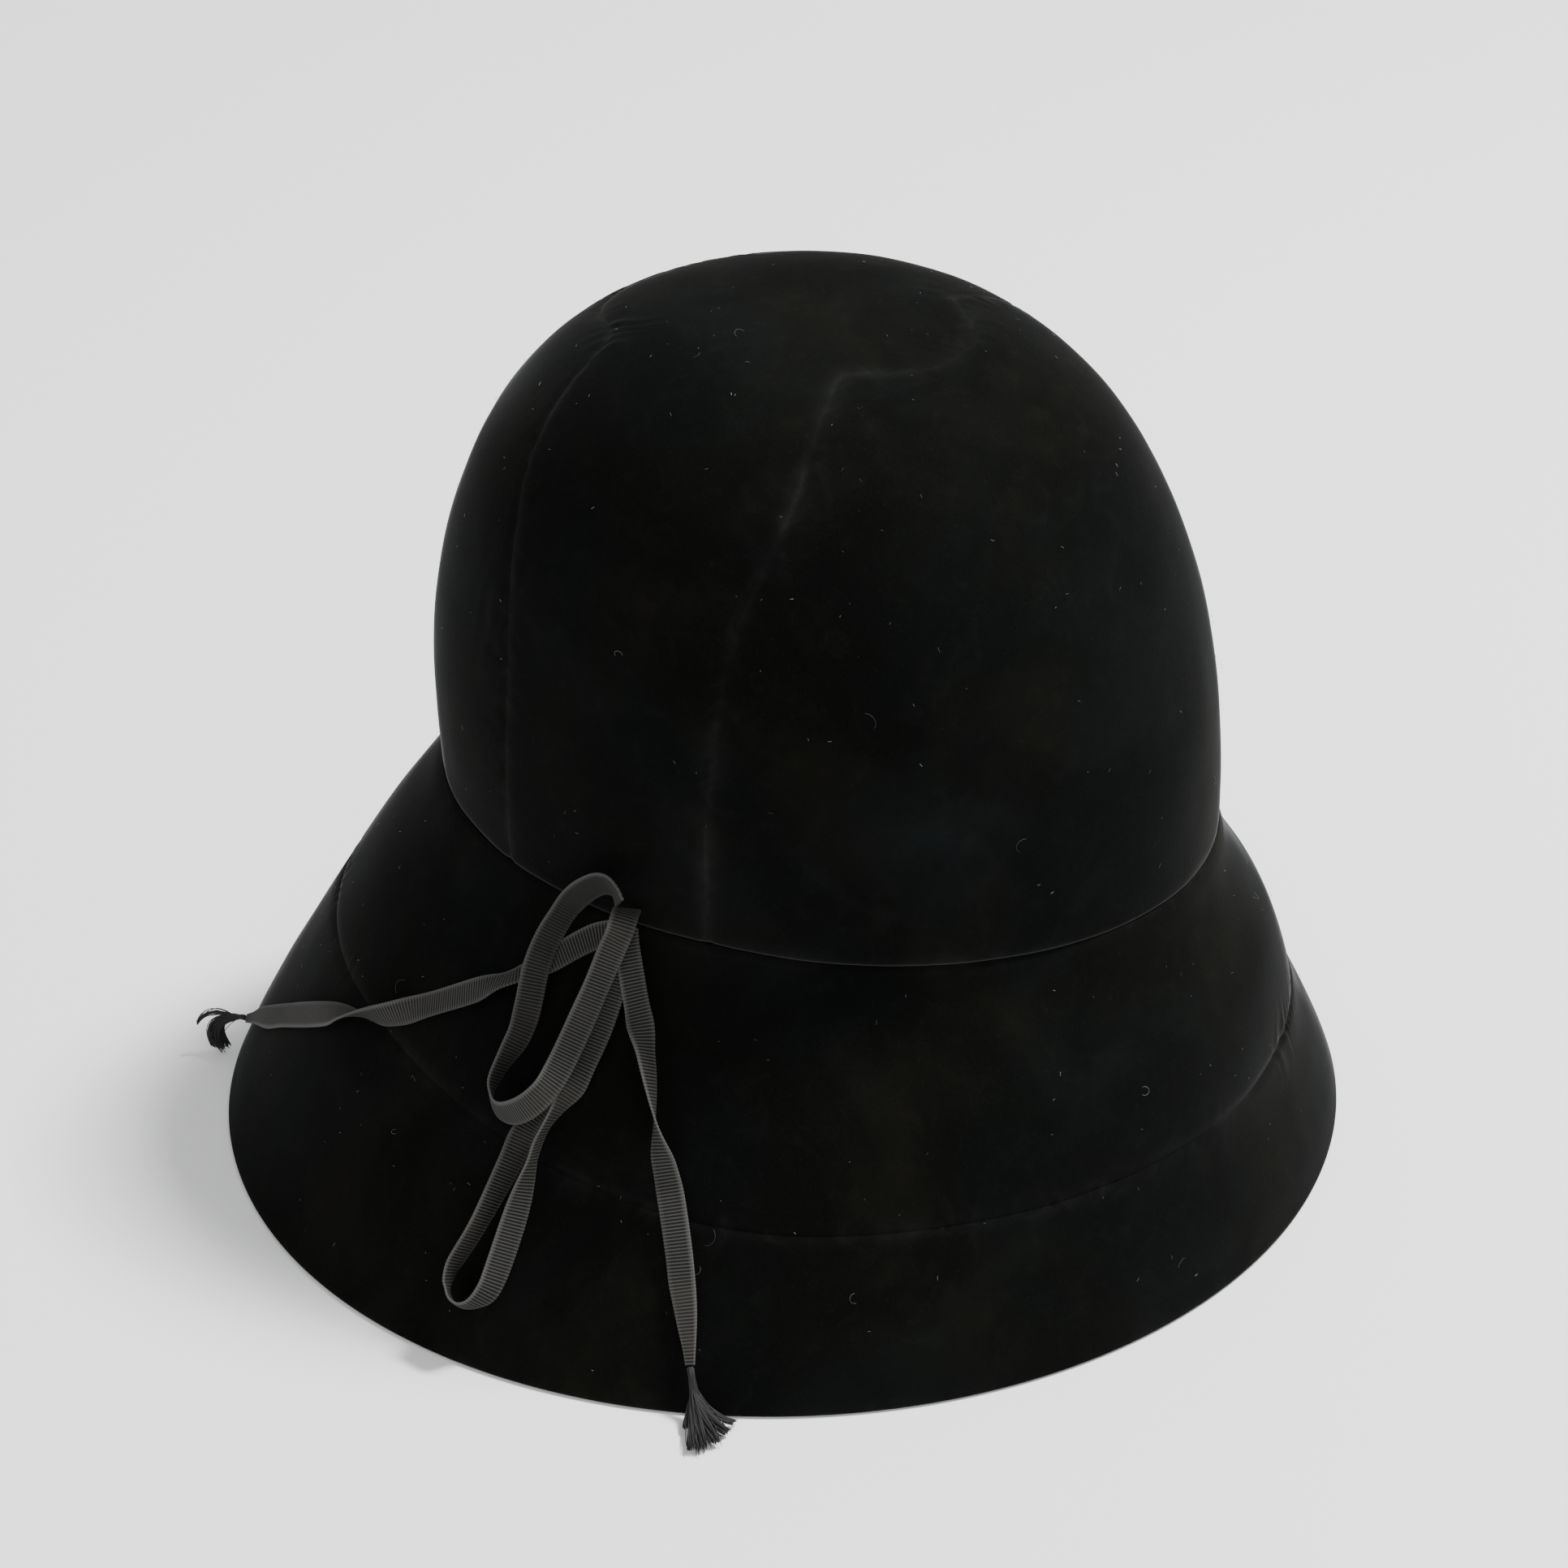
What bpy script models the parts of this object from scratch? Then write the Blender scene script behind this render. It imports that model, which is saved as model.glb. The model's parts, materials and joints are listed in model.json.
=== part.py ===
# A velvet cloche hat with a narrow ribbon bow at the wearer's right.
# Metres, +Z up. The front looks towards -Y and the bow side towards -X.
# The hat stands on its brim edge, and the origin is on the table under the middle of the brim.

import bpy
import bmesh
import math
from mathutils import Vector

MM = 0.001

# The crown, measured outside
CROWN_LENGTH = 0.2025     # front to back along the seam with the brim
CROWN_WIDTH = 0.168       # side to side along the same seam
CROWN_HEIGHT = 0.1285     # from that seam to the top
CROWN_FORWARD = 0.013     # how far the crown sits in front of the brim's middle
CROWN_LEAN = 0.006        # how far the top leans back
CROWN_SWELL_SHARE = 0.015 # how much wider it gets above the seam
SWELL_HEIGHT_SHARE = 0.7  # and how far up the crown it reaches
FRONT_FULLNESS = 3.3      # how square the front, back, sides and top are
BACK_FULLNESS = 2.7
SIDE_FULLNESS = 3.4
TOP_FULLNESS = 2.45
CROWN_WALL = 0.0025

# The brim
BRIM_LENGTH = 0.2855      # front to back at the edge
BRIM_WIDTH = 0.294
BRIM_DROP = 0.095         # from the seam with the crown down to the edge
BRIM_WALL = 0.003
BRIM_BELL = 0.003         # how far the front swells out of a straight slope
BRIM_BACK_SWELL = 0.0034
RING_SHARE_FRONT = 0.59   # where the stitched ring lies, as a share of the way down
RING_SHARE_BACK = 0.437
RING_RISE_START = 65.0    # degrees from the front where the ring begins and ends its rise
RING_RISE_END = 130.0
EDGE_ROUND = 0.0008       # height of the rounding on the brim's edge
EDGE_INSET = 0.0006       # and its depth

SEAM_GAP = 0.0003         # between pieces that are sewn together

# The ribbon and its tassels
RIBBON_WIDTH = 0.007
RIBBON_THICKNESS = 0.0006
TASSEL_HEAD = 0.0013      # radius of a tassel's head
HEAD_BELLY_SHARE = 1.15   # the head is fuller at its middle than at its ends
HEAD_END_SHARE = 0.9
LOCK_ROOT = 0.0009        # half width of a lock at the head and at its blunt end
LOCK_END = 0.0013

# How finely the round forms are divided
COLUMNS = 64
CROWN_ROWS = 16
BRIM_ROWS = 5
SEAM_STEPS = 56

# The brim's slope above and below the ring: share of the way, bell, back swell
SLOPE_ABOVE = (
    (0.0, 0.0, 0.0),
    (0.2, -0.35, 0.2),
    (0.4, 0.15, 0.5),
    (0.6, 0.95, 0.75),
    (0.8, 0.9, 0.9),
    (1.0, 0.3, 1.0),
)
SLOPE_BELOW = (
    (0.0, 0.3, 1.0),
    (0.25, 0.05, 1.0),
    (0.5, 0.2, 0.85),
    (0.75, 0.3, 0.5),
    (1.0, 0.0, 0.0),
)

# The crown's two seams seen from above: share of the half width, share of the half length
FRONT_SEAM = (
    (-1.3, 0.17), (-1.0, 0.20), (-0.9, 0.22), (-0.75, 0.27), (-0.64, 0.28), (-0.42, 0.24),
    (-0.31, 0.22), (-0.26, 0.26), (-0.18, 0.33), (-0.1, 0.37), (0.0, 0.385), (0.1, 0.37),
    (0.18, 0.33), (0.26, 0.26), (0.31, 0.22), (0.42, 0.24), (0.64, 0.28), (0.75, 0.27),
    (0.9, 0.22), (1.0, 0.20), (1.3, 0.17),
)
BACK_SEAM = (
    (-1.3, -0.40), (-1.0, -0.405), (-0.9, -0.41), (-0.8, -0.44), (-0.65, -0.465), (-0.5, -0.44),
    (-0.38, -0.41), (-0.3, -0.42), (-0.26, -0.45), (-0.18, -0.52), (-0.1, -0.56), (0.0, -0.575),
    (0.1, -0.56), (0.18, -0.52), (0.26, -0.45), (0.3, -0.42), (0.38, -0.41), (0.5, -0.44),
    (0.65, -0.465), (0.8, -0.44), (0.9, -0.41), (1.0, -0.405), (1.3, -0.40),
)
SEAM_REACH_SHARE = 1.3          # the cutters' half width, as a share of the crown's half width

# Soft dents: degrees from the front, height share, half width and depth as shares of the
# crown's length, half height as a share of its height
DENTS = (
    (-42.0, 0.23, 0.13, 0.0160, 0.13),
    (-74.0, 0.36, 0.10, 0.0060, 0.16),
    (150.0, 0.45, 0.14, 0.0080, 0.18),
    (52.0, 0.30, 0.12, 0.0070, 0.15),
)

# The ribbon's routes, in millimetres: x, y, z, tilt in degrees, share of the full width.
# The tilt turns the ribbon's width about its own path, from level at 0.
LARGE_LOOP = (
    (-85.6, -9.8, 99.6, -180, 1.0),
    (-87.2, -10.7, 100.4, -170, 1.0),
    (-90.3, -12.0, 100.6, -166, 1.0),
    (-92.5, -12.5, 98.5, -152, 1.0),
    (-95.5, -11.0, 92.0, -128, 1.0),
    (-101.0, -9.5, 83.0, -122, 1.0),
    (-106.5, -8.0, 74.5, -149, 1.0),
    (-113.5, -8.0, 69.0, -149, 1.0),
    (-119.0, -7.5, 65.5, -116, 1.0),
    (-121.3, -3.6, 61.0, -90, 1.0),
    (-120.2, 2.5, 56.6, -76, 1.0),
    (-118.9, 6.9, 55.9, -72, 1.0),
    (-116.7, 9.7, 57.8, -85, 1.0),
    (-114.0, 10.0, 61.2, -102, 1.0),
    (-111.0, 8.8, 65.3, -100, 1.0),
    (-107.3, 7.2, 70.3, -62, 1.0),
    (-102.6, 7.8, 75.6, -20, 1.0),
    (-97.3, 9.2, 82.2, -22, 1.0),
    (-93.1, 9.2, 87.5, -54, 1.0),
    (-90.6, 7.9, 91.8, -75, 1.0),
    (-88.1, 4.8, 98.1, -101, 1.0),
    (-89.1, -0.7, 104.2, -112, 1.0),
    (-89.9, -5.2, 107.6, -109, 1.0),
    (-91.0, -8.8, 108.7, -106, 1.0),
    (-92.2, -11.1, 108.2, -98, 1.0),
    (-93.5, -12.9, 106.3, -86, 1.0),
)
SMALL_LOOP = (
    (-87.0, -10.0, 93.5, -165, 1.0),
    (-91.0, -8.6, 87.0, -167, 1.0),
    (-97.0, -7.0, 78.0, -170, 1.0),
    (-104.0, -5.6, 69.3, -170, 1.0),
    (-111.0, -3.5, 60.0, -165, 1.0),
    (-117.3, -1.0, 52.0, -168, 1.0),
    (-123.0, -0.3, 45.5, -118, 1.0),
    (-132.8, 3.1, 31.3, -83, 1.0),
    (-139.4, 6.5, 21.5, -76, 1.0),
    (-141.9, 6.1, 17.6, -103, 1.0),
    (-143.3, 4.0, 15.5, -127, 1.0),
    (-143.5, 0.5, 15.2, -138, 1.0),
    (-142.2, -2.8, 17.0, -124, 1.0),
    (-140.4, -4.6, 19.5, -81, 1.0),
    (-137.0, -5.2, 24.0, -54, 1.0),
    (-130.0, -5.6, 34.5, -55, 1.0),
    (-124.5, -6.1, 44.4, -90, 1.0),
    (-121.3, -6.3, 50.0, -110, 1.0),
    (-119.1, -7.2, 54.5, -124, 1.0),
    (-114.5, -9.3, 60.4, -99, 1.0),
    (-108.4, -10.9, 66.5, -8, 1.0),
    (-100.7, -11.5, 74.6, -4, 1.0),
    (-94.0, -11.6, 84.0, 0, 1.0),
    (-90.0, -11.3, 91.0, 4, 1.0),
)
SIDE_TAIL = (
    (-86.5, -7.0, 92.4, -123, 1.0),
    (-87.2, -2.6, 91.0, -128, 1.0),
    (-89.4, 3.1, 87.0, -137, 1.0),
    (-92.6, 8.4, 82.7, -152, 1.0),
    (-96.5, 13.4, 80.0, -175, 1.0),
    (-98.9, 18.6, 77.0, -175, 1.0),
    (-99.7, 24.7, 73.1, -135, 1.0),
    (-100.0, 41.0, 63.0, -135, 1.0),
    (-101.3, 47.6, 59.6, -100, 1.0),
    (-101.6, 54.0, 56.7, -72, 1.0),
    (-100.2, 62.6, 53.3, -15, 1.0),
    (-96.4, 72.0, 48.4, 45, 1.0),
    (-91.0, 83.3, 41.5, 66, 1.0),
    (-84.0, 96.0, 33.2, 53, 1.0),
    (-79.0, 105.0, 27.0, 55, 1.0),
    (-73.0, 113.5, 21.2, 58, 0.75),
    (-68.7, 119.5, 16.2, 60, 0.45),
    (-66.0, 123.5, 13.2, 65, 0.34),
)
FRONT_TAIL = (
    (-88.0, -11.0, 95.5, -213, 1.0),
    (-90.3, -12.8, 92.5, -216, 1.0),
    (-93.8, -16.5, 86.0, -214, 1.0),
    (-97.2, -20.2, 80.5, -211, 1.0),
    (-101.6, -24.7, 75.1, -147, 1.0),
    (-106.0, -29.0, 69.7, -128, 1.0),
    (-112.0, -35.0, 59.0, -87, 1.0),
    (-113.8, -38.5, 51.0, -53, 1.0),
    (-115.6, -41.1, 45.2, -22, 1.0),
    (-120.0, -46.0, 34.3, -23, 1.0),
    (-122.5, -48.3, 29.0, -21, 1.0),
    (-125.2, -51.0, 23.7, -18, 0.85),
    (-127.2, -52.8, 19.8, -17, 0.7),
    (-129.2, -54.6, 15.9, -14, 0.48),
    (-131.0, -56.0, 12.3, -11, 0.34),
)
ROUTE_STEP = 3.0          # millimetres between the sections of a ribbon
ROUTE_FINE_STEP = 0.5     # millimetres between the places that its curve is read at
ROUTE_STIFFNESS = 2.5     # millimetres to each side that its bends are evened out over

# The tassels' heads and locks, in millimetres: the head's path, then for each lock its bend,
# its end and its width as a share
SIDE_TASSEL_HEAD = ((-65.6, 124.0, 12.9), (-65.5, 126.2, 12.5), (-65.7, 128.4, 12.0))
SIDE_TASSEL_LOCKS = (
    ((-66.6, 136.2, 13.2), (-70.2, 136.8, 9.4), 0.45),
    ((-68.6, 137.2, 9.6), (-67.4, 133.4, 1.7), 0.95),
    ((-67.9, 136.0, 9.4), (-66.4, 132.3, 1.8), 1.2),
    ((-68.8, 135.4, 8.8), (-67.4, 131.3, 1.7), 1.0),
    ((-67.2, 134.8, 9.4), (-65.4, 130.8, 1.7), 1.0),
)
FRONT_TASSEL_HEAD = ((-131.3, -56.3, 11.7), (-132.7, -57.8, 8.8), (-133.9, -59.2, 6.2))
FRONT_TASSEL_LOCKS = (
    ((-137.0, -59.2, 3.4), (-140.4, -60.8, 1.6), 0.75),
    ((-138.4, -61.8, 3.2), (-146.4, -66.2, 1.7), 1.1),
    ((-138.2, -62.8, 3.2), (-145.0, -68.2, 1.7), 1.1),
    ((-137.6, -64.0, 3.2), (-141.6, -69.8, 1.7), 1.1),
    ((-136.6, -64.6, 3.2), (-136.6, -69.9, 1.6), 1.0),
    ((-135.4, -64.4, 3.4), (-132.2, -69.2, 1.5), 0.7),
)
LOCK_STEPS = 4

VELVET = (0.011, 0.012, 0.012)
GROSGRAIN = (0.034, 0.032, 0.030)
FRINGE = (0.042, 0.039, 0.036)


def ease(share):
    share = min(max(share, 0.0), 1.0)
    return share * share * (3 - 2 * share)


def from_table(rows, place, column):
    """Read one column of a table at a place between its rows, along a smooth curve."""
    place = min(max(place, rows[0][0]), rows[-1][0])
    low = 0
    while low < len(rows) - 2 and place > rows[low + 1][0]:
        low += 1
    start = rows[low]
    end = rows[low + 1]
    before = rows[max(low - 1, 0)]
    after = rows[min(low + 2, len(rows) - 1)]
    width = end[0] - start[0]
    share = (place - start[0]) / width
    slope_in = (end[column] - before[column]) / (end[0] - before[0]) * width
    slope_out = (after[column] - start[column]) / (after[0] - start[0]) * width
    square = share * share
    cube = square * share
    return (
        start[column] * (2 * cube - 3 * square + 1)
        + slope_in * (cube - 2 * square + share)
        + end[column] * (3 * square - 2 * cube)
        + slope_out * (cube - square)
    )


def dent_depth(turn, height_share):
    """How far the dents press the crown in at a place."""
    depth = 0.0
    for degrees, height, half_width, deep, half_height in DENTS:
        around = math.remainder(turn - math.radians(degrees), 2 * math.pi) * CROWN_LENGTH / 2
        aside = around / (half_width * CROWN_LENGTH)
        up = (height_share - height) / half_height
        away = math.hypot(aside, up)
        if away < 1:
            depth += deep * CROWN_LENGTH * (1 + math.cos(math.pi * away)) / 2
    return depth


def crown_point(turn, rise):
    """A place on the crown's outside. turn is 0 at the front, rise is 0 at the seam and 1 on top."""
    sine = math.sin(turn)
    cosine = math.cos(turn)
    up = math.sin(rise * math.pi / 2) ** (2 / TOP_FULLNESS)
    shrink = max(math.cos(rise * math.pi / 2), 0.0)
    swell = 1 + CROWN_SWELL_SHARE * math.sin(math.pi * min(1.0, up / SWELL_HEIGHT_SHARE))
    end_fullness = FRONT_FULLNESS if cosine > 0 else BACK_FULLNESS
    half_length = CROWN_LENGTH / 2 * shrink ** (2 / end_fullness) * swell
    half_width = CROWN_WIDTH / 2 * shrink ** (2 / SIDE_FULLNESS) * swell
    pressed = dent_depth(turn, up)
    return Vector((
        (half_width - pressed) * sine,
        CROWN_LEAN * up - CROWN_FORWARD - (half_length - pressed) * cosine,
        BRIM_DROP + SEAM_GAP / 2 + CROWN_HEIGHT * up,
    ))


def ring_share(turn):
    """Where the stitched ring lies, as a share of the way down the brim."""
    degrees = abs(math.degrees(math.remainder(turn, 2 * math.pi)))
    back = ease((degrees - RING_RISE_START) / (RING_RISE_END - RING_RISE_START))
    return RING_SHARE_FRONT + (RING_SHARE_BACK - RING_SHARE_FRONT) * back


def brim_point(turn, down):
    """A place on the brim's outside. down is 0 at the seam with the crown and 1 at the edge."""
    sine = math.sin(turn)
    cosine = math.cos(turn)
    top = Vector((CROWN_WIDTH / 2 * sine, -CROWN_FORWARD - CROWN_LENGTH / 2 * cosine, BRIM_DROP))
    spread = math.atan2(-top.x / BRIM_WIDTH, -top.y / BRIM_LENGTH)
    foot = Vector((-BRIM_WIDTH / 2 * math.sin(spread), -BRIM_LENGTH / 2 * math.cos(spread), 0.0))
    out = foot - top
    out.z = 0.0
    out.normalize()
    ring = ring_share(turn)
    if down <= ring:
        rows = SLOPE_ABOVE
        share = down / ring
    else:
        rows = SLOPE_BELOW
        share = (down - ring) / (1 - ring)
    front = (1 + cosine) / 2
    bell = BRIM_BELL * front * from_table(rows, share, 1)
    swell = BRIM_BACK_SWELL * (1 - front) * from_table(rows, share, 2)
    return top + (foot - top) * down + out * (bell + swell)


def outward(surface, turn, share):
    """The direction straight out of the crown or the brim."""
    step = 0.004
    across = surface(turn + step, share) - surface(turn - step, share)
    along = surface(turn, min(share + step, 1.0)) - surface(turn, max(share - step, 0.0))
    normal = across.cross(along).normalized()
    return normal if surface is crown_point else -normal


def level_outward(turn):
    """The level direction straight out of the seam between crown and brim."""
    return Vector((math.sin(turn) / CROWN_WIDTH, -math.cos(turn) / CROWN_LENGTH, 0.0)).normalized()


def turn_of(column):
    return 2 * math.pi * column / COLUMNS


def make_material(name, colour, roughness, sheen):
    material = bpy.data.materials.new(name)
    material.use_nodes = True
    shader = material.node_tree.nodes["Principled BSDF"]
    shader.inputs["Base Color"].default_value = (*colour, 1.0)
    shader.inputs["Roughness"].default_value = roughness
    shader.inputs["Metallic"].default_value = 0.0
    shader.inputs["Sheen Weight"].default_value = sheen
    return material


def make_object(name, points, faces, material):
    """A closed mesh with its faces turned outward."""
    mesh = bpy.data.meshes.new(name)
    mesh.from_pydata(points, [], faces)
    shape = bmesh.new()
    shape.from_mesh(mesh)
    bmesh.ops.recalc_face_normals(shape, faces=shape.faces)
    shape.to_mesh(mesh)
    shape.free()
    mesh.shade_smooth()
    mesh.set_sharp_from_angle(angle=math.radians(40))
    mesh.materials.append(material)
    made = bpy.data.objects.new(name, mesh)
    bpy.context.scene.collection.objects.link(made)
    return made


def hide_cutter(cutter):
    cutter.hide_render = True
    cutter.display_type = "WIRE"


def add_boolean(target, cutter, operation):
    boolean = target.modifiers.new(operation.lower(), "BOOLEAN")
    boolean.operation = operation
    boolean.solver = "EXACT"
    boolean.object = cutter
    hide_cutter(cutter)


def crown_shell():
    """The points and faces of the whole crown before its seams are cut."""
    points = []
    for column in range(COLUMNS):
        turn = turn_of(column)
        for row in range(CROWN_ROWS):
            points.append(crown_point(turn, row / CROWN_ROWS))
    for column in range(COLUMNS):
        turn = turn_of(column)
        for row in range(CROWN_ROWS):
            inward = level_outward(turn) if row == 0 else outward(crown_point, turn, row / CROWN_ROWS)
            points.append(crown_point(turn, row / CROWN_ROWS) - inward * CROWN_WALL)
    top = crown_point(0.0, 1.0)
    outer_top = len(points)
    points.append(top)
    inner_top = len(points)
    points.append(top - Vector((0.0, 0.0, CROWN_WALL)))
    inside = COLUMNS * CROWN_ROWS
    faces = []
    for column in range(COLUMNS):
        here = column * CROWN_ROWS
        beside = (column + 1) % COLUMNS * CROWN_ROWS
        for row in range(CROWN_ROWS - 1):
            outer = (here + row, beside + row, beside + row + 1, here + row + 1)
            faces.append(outer)
            faces.append(tuple(inside + corner for corner in reversed(outer)))
        last = CROWN_ROWS - 1
        faces.append((here + last, beside + last, outer_top))
        faces.append((inside + beside + last, inside + here + last, inner_top))
        faces.append((beside, here, inside + here, inside + beside))
    return points, faces


def seam_side(rows, shift):
    """The plan of a seam, moved by half a seam's gap to one side of it."""
    middle = CROWN_LEAN / 2 - CROWN_FORWARD
    side = []
    for step in range(SEAM_STEPS + 1):
        across = -SEAM_REACH_SHARE + 2 * SEAM_REACH_SHARE * step / SEAM_STEPS
        along = from_table(rows, across, 1)
        side.append((across * CROWN_WIDTH / 2, middle - along * CROWN_LENGTH / 2 + shift))
    return side


def seam_cutter(name, front_side, back_side, material):
    """An upright block between two plan lines, taller than the crown."""
    low = BRIM_DROP - CROWN_WALL
    high = BRIM_DROP + CROWN_HEIGHT + 4 * CROWN_WALL
    count = len(front_side)
    points = [(x, y, low) for x, y in front_side + back_side]
    points += [(x, y, high) for x, y in front_side + back_side]
    faces = []
    for step in range(count - 1):
        floor = (step, step + 1, count + step + 1, count + step)
        faces.append(floor)
        faces.append(tuple(2 * count + corner for corner in reversed(floor)))
        faces.append((step + 1, step, 2 * count + step, 2 * count + step + 1))
        faces.append((count + step, count + step + 1, 3 * count + step + 1, 3 * count + step))
    for end in (0, count - 1):
        faces.append((end, count + end, 3 * count + end, 2 * count + end))
    cutter = make_object(name, points, faces, material)
    hide_cutter(cutter)
    return cutter


def straight_side(y):
    width = SEAM_REACH_SHARE * CROWN_WIDTH / 2
    return [(-width + 2 * width * step / SEAM_STEPS, y) for step in range(SEAM_STEPS + 1)]


def make_crown(material):
    """The front, centre and back of the crown, cut from one shell along the two seams."""
    half_gap = SEAM_GAP / 2
    far = CROWN_LENGTH
    cuts = (
        ("crown_front", straight_side(-far), seam_side(FRONT_SEAM, -half_gap)),
        ("crown_centre", seam_side(FRONT_SEAM, half_gap), seam_side(BACK_SEAM, -half_gap)),
        ("crown_back", seam_side(BACK_SEAM, half_gap), straight_side(far)),
    )
    points, faces = crown_shell()
    for name, front_side, back_side in cuts:
        panel = make_object(name, points, faces, material)
        cutter = seam_cutter("cutter_" + name, front_side, back_side, material)
        add_boolean(panel, cutter, "INTERSECT")


def inner_brim_point(turn, down, wall):
    """The inside of the brim at the same height as a place on its outside."""
    normal = outward(brim_point, turn, down)
    level = Vector((normal.x, normal.y, 0.0))
    return brim_point(turn, down) - level.normalized() * (wall / level.length)


def make_ring_wall(name, sections, material):
    """A wall that goes all the way round, from one closed section for each column."""
    count = len(sections[0])
    points = [point for section in sections for point in section]
    faces = []
    for column in range(COLUMNS):
        here = column * count
        beside = (column + 1) % COLUMNS * count
        for corner in range(count):
            after = (corner + 1) % count
            faces.append((here + corner, beside + corner, beside + after, here + after))
    return make_object(name, points, faces, material)


def make_brim(material):
    """The brim above and below the stitched ring."""
    half_gap = SEAM_GAP / 2 / BRIM_DROP
    upper = []
    lower = []
    for column in range(COLUMNS):
        turn = turn_of(column)
        ring = ring_share(turn)
        shares = [half_gap + (ring - 2 * half_gap) * row / BRIM_ROWS for row in range(BRIM_ROWS + 1)]
        outer = [brim_point(turn, share) for share in shares]
        inner = [inner_brim_point(turn, share, BRIM_WALL) for share in shares]
        inner[0] = outer[0] - level_outward(turn) * CROWN_WALL
        upper.append(outer + inner[::-1])

        start = ring + half_gap
        end = 1 - EDGE_ROUND / BRIM_DROP
        shares = [start + (end - start) * row / BRIM_ROWS for row in range(BRIM_ROWS + 1)]
        outer = [brim_point(turn, share) for share in shares]
        inner = [inner_brim_point(turn, share, BRIM_WALL) for share in shares]
        foot = brim_point(turn, 1.0)
        inner_foot = inner_brim_point(turn, 1.0, BRIM_WALL)
        inset = (inner_foot - foot).normalized() * EDGE_INSET
        lower.append(outer + [foot + inset, inner_foot - inset] + inner[::-1])
    make_ring_wall("brim_upper", upper, material)
    make_ring_wall("brim_lower", lower, material)


def smooth_route(rows):
    """A ribbon's rows joined by a smooth curve without sharp bends, read at even steps."""
    table = [Vector(row) for row in rows]
    fine = []
    for index in range(len(table) - 1):
        before = table[max(index - 1, 0)]
        start = table[index]
        end = table[index + 1]
        after = table[min(index + 2, len(table) - 1)]
        steps = max(1, round((end.xyz - start.xyz).length / ROUTE_FINE_STEP))
        for step in range(steps):
            share = step / steps
            straight = start * 2 + (end - before) * share
            bend = (before * 2 - start * 5 + end * 4 - after) * share ** 2
            twist = (start * 3 + after - before - end * 3) * share ** 3
            fine.append((straight + bend + twist) / 2)
    fine.append(table[-1])
    last = len(fine) - 1
    eased = []
    for index in range(last + 1):
        reach = min(round(ROUTE_STIFFNESS / ROUTE_FINE_STEP), index, last - index)
        near = fine[index - reach:index + reach + 1]
        eased.append(sum(near[1:], near[0]) / len(near))
    count = round(last * ROUTE_FINE_STEP / ROUTE_STEP)
    return [eased[round(last * step / count)] for step in range(count + 1)]


def make_ribbon(name, rows, material):
    """A flat ribbon along its route, turned by the tilt of each row."""
    route = smooth_route(rows)
    points = []
    for index, row in enumerate(route):
        ahead = route[min(index + 1, len(route) - 1)]
        behind = route[max(index - 1, 0)]
        along = (Vector(ahead[:3]) - Vector(behind[:3])).normalized()
        level = along.cross(Vector((0.0, 0.0, 1.0))).normalized()
        steep = level.cross(along)
        tilt = math.radians(row[3])
        side = level * math.cos(tilt) + steep * math.sin(tilt)
        face = side.cross(along)
        half_width = side * (RIBBON_WIDTH / 2 * row[4])
        half_thickness = face * (RIBBON_THICKNESS / 2)
        centre = Vector(row[:3]) * MM
        points.append(centre - half_width - half_thickness)
        points.append(centre + half_width - half_thickness)
        points.append(centre + half_width + half_thickness)
        points.append(centre - half_width + half_thickness)
    # Both broad faces are split along the same diagonal, so that a twist keeps its thickness
    broad = ((0, 1, 5), (0, 5, 4), (3, 6, 2), (3, 7, 6))
    narrow = ((1, 2, 6), (1, 6, 5), (0, 7, 3), (0, 4, 7))
    faces = [(3, 2, 1), (3, 1, 0)]
    for index in range(len(route) - 1):
        for corners in broad + narrow:
            faces.append(tuple(4 * index + corner for corner in corners))
    last = 4 * (len(route) - 1)
    faces.append((last, last + 1, last + 2))
    faces.append((last, last + 2, last + 3))
    return make_object(name, points, faces, material)


def make_strand(name, centres, radii, sides, material):
    """A tapered strand with flat ends."""
    points = []
    for index, centre in enumerate(centres):
        ahead = centres[min(index + 1, len(centres) - 1)]
        behind = centres[max(index - 1, 0)]
        along = (ahead - behind).normalized()
        level = along.cross(Vector((0.1, 0.2, 1.0))).normalized()
        steep = level.cross(along)
        for side in range(sides):
            angle = 2 * math.pi * (side + 0.5) / sides
            points.append(centre + (level * math.cos(angle) + steep * math.sin(angle)) * radii[index])
    faces = [tuple(reversed(range(sides)))]
    for index in range(len(centres) - 1):
        first = index * sides
        for side in range(sides):
            after = (side + 1) % sides
            faces.append((first + side, first + after, first + sides + after, first + sides + side))
    last = (len(centres) - 1) * sides
    faces.append(tuple(range(last, last + sides)))
    return make_object(name, points, faces, material)


def make_tassel(name, head, locks, material):
    """A ribbon end that is gathered in a head and frays into locks, all fused in one piece."""
    head_path = [Vector(point) * MM for point in head]
    middle = len(head_path) // 2
    radii = [TASSEL_HEAD * HEAD_END_SHARE] * len(head_path)
    radii[middle] = TASSEL_HEAD * HEAD_BELLY_SHARE
    tassel = make_strand(name, head_path, radii, 8, material)
    root = head_path[middle].lerp(head_path[-1], 0.5)
    for number, (bend, end, width) in enumerate(locks):
        bend = Vector(bend) * MM
        end = Vector(end) * MM
        centres = []
        radii = []
        for step in range(LOCK_STEPS + 1):
            share = step / LOCK_STEPS
            centres.append(root.lerp(bend, share).lerp(bend.lerp(end, share), share))
            radii.append((LOCK_ROOT + (LOCK_END - LOCK_ROOT) * share) * width)
        lock = make_strand(f"cutter_{name}_{number}", centres, radii, 6, material)
        add_boolean(tassel, lock, "UNION")


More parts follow.
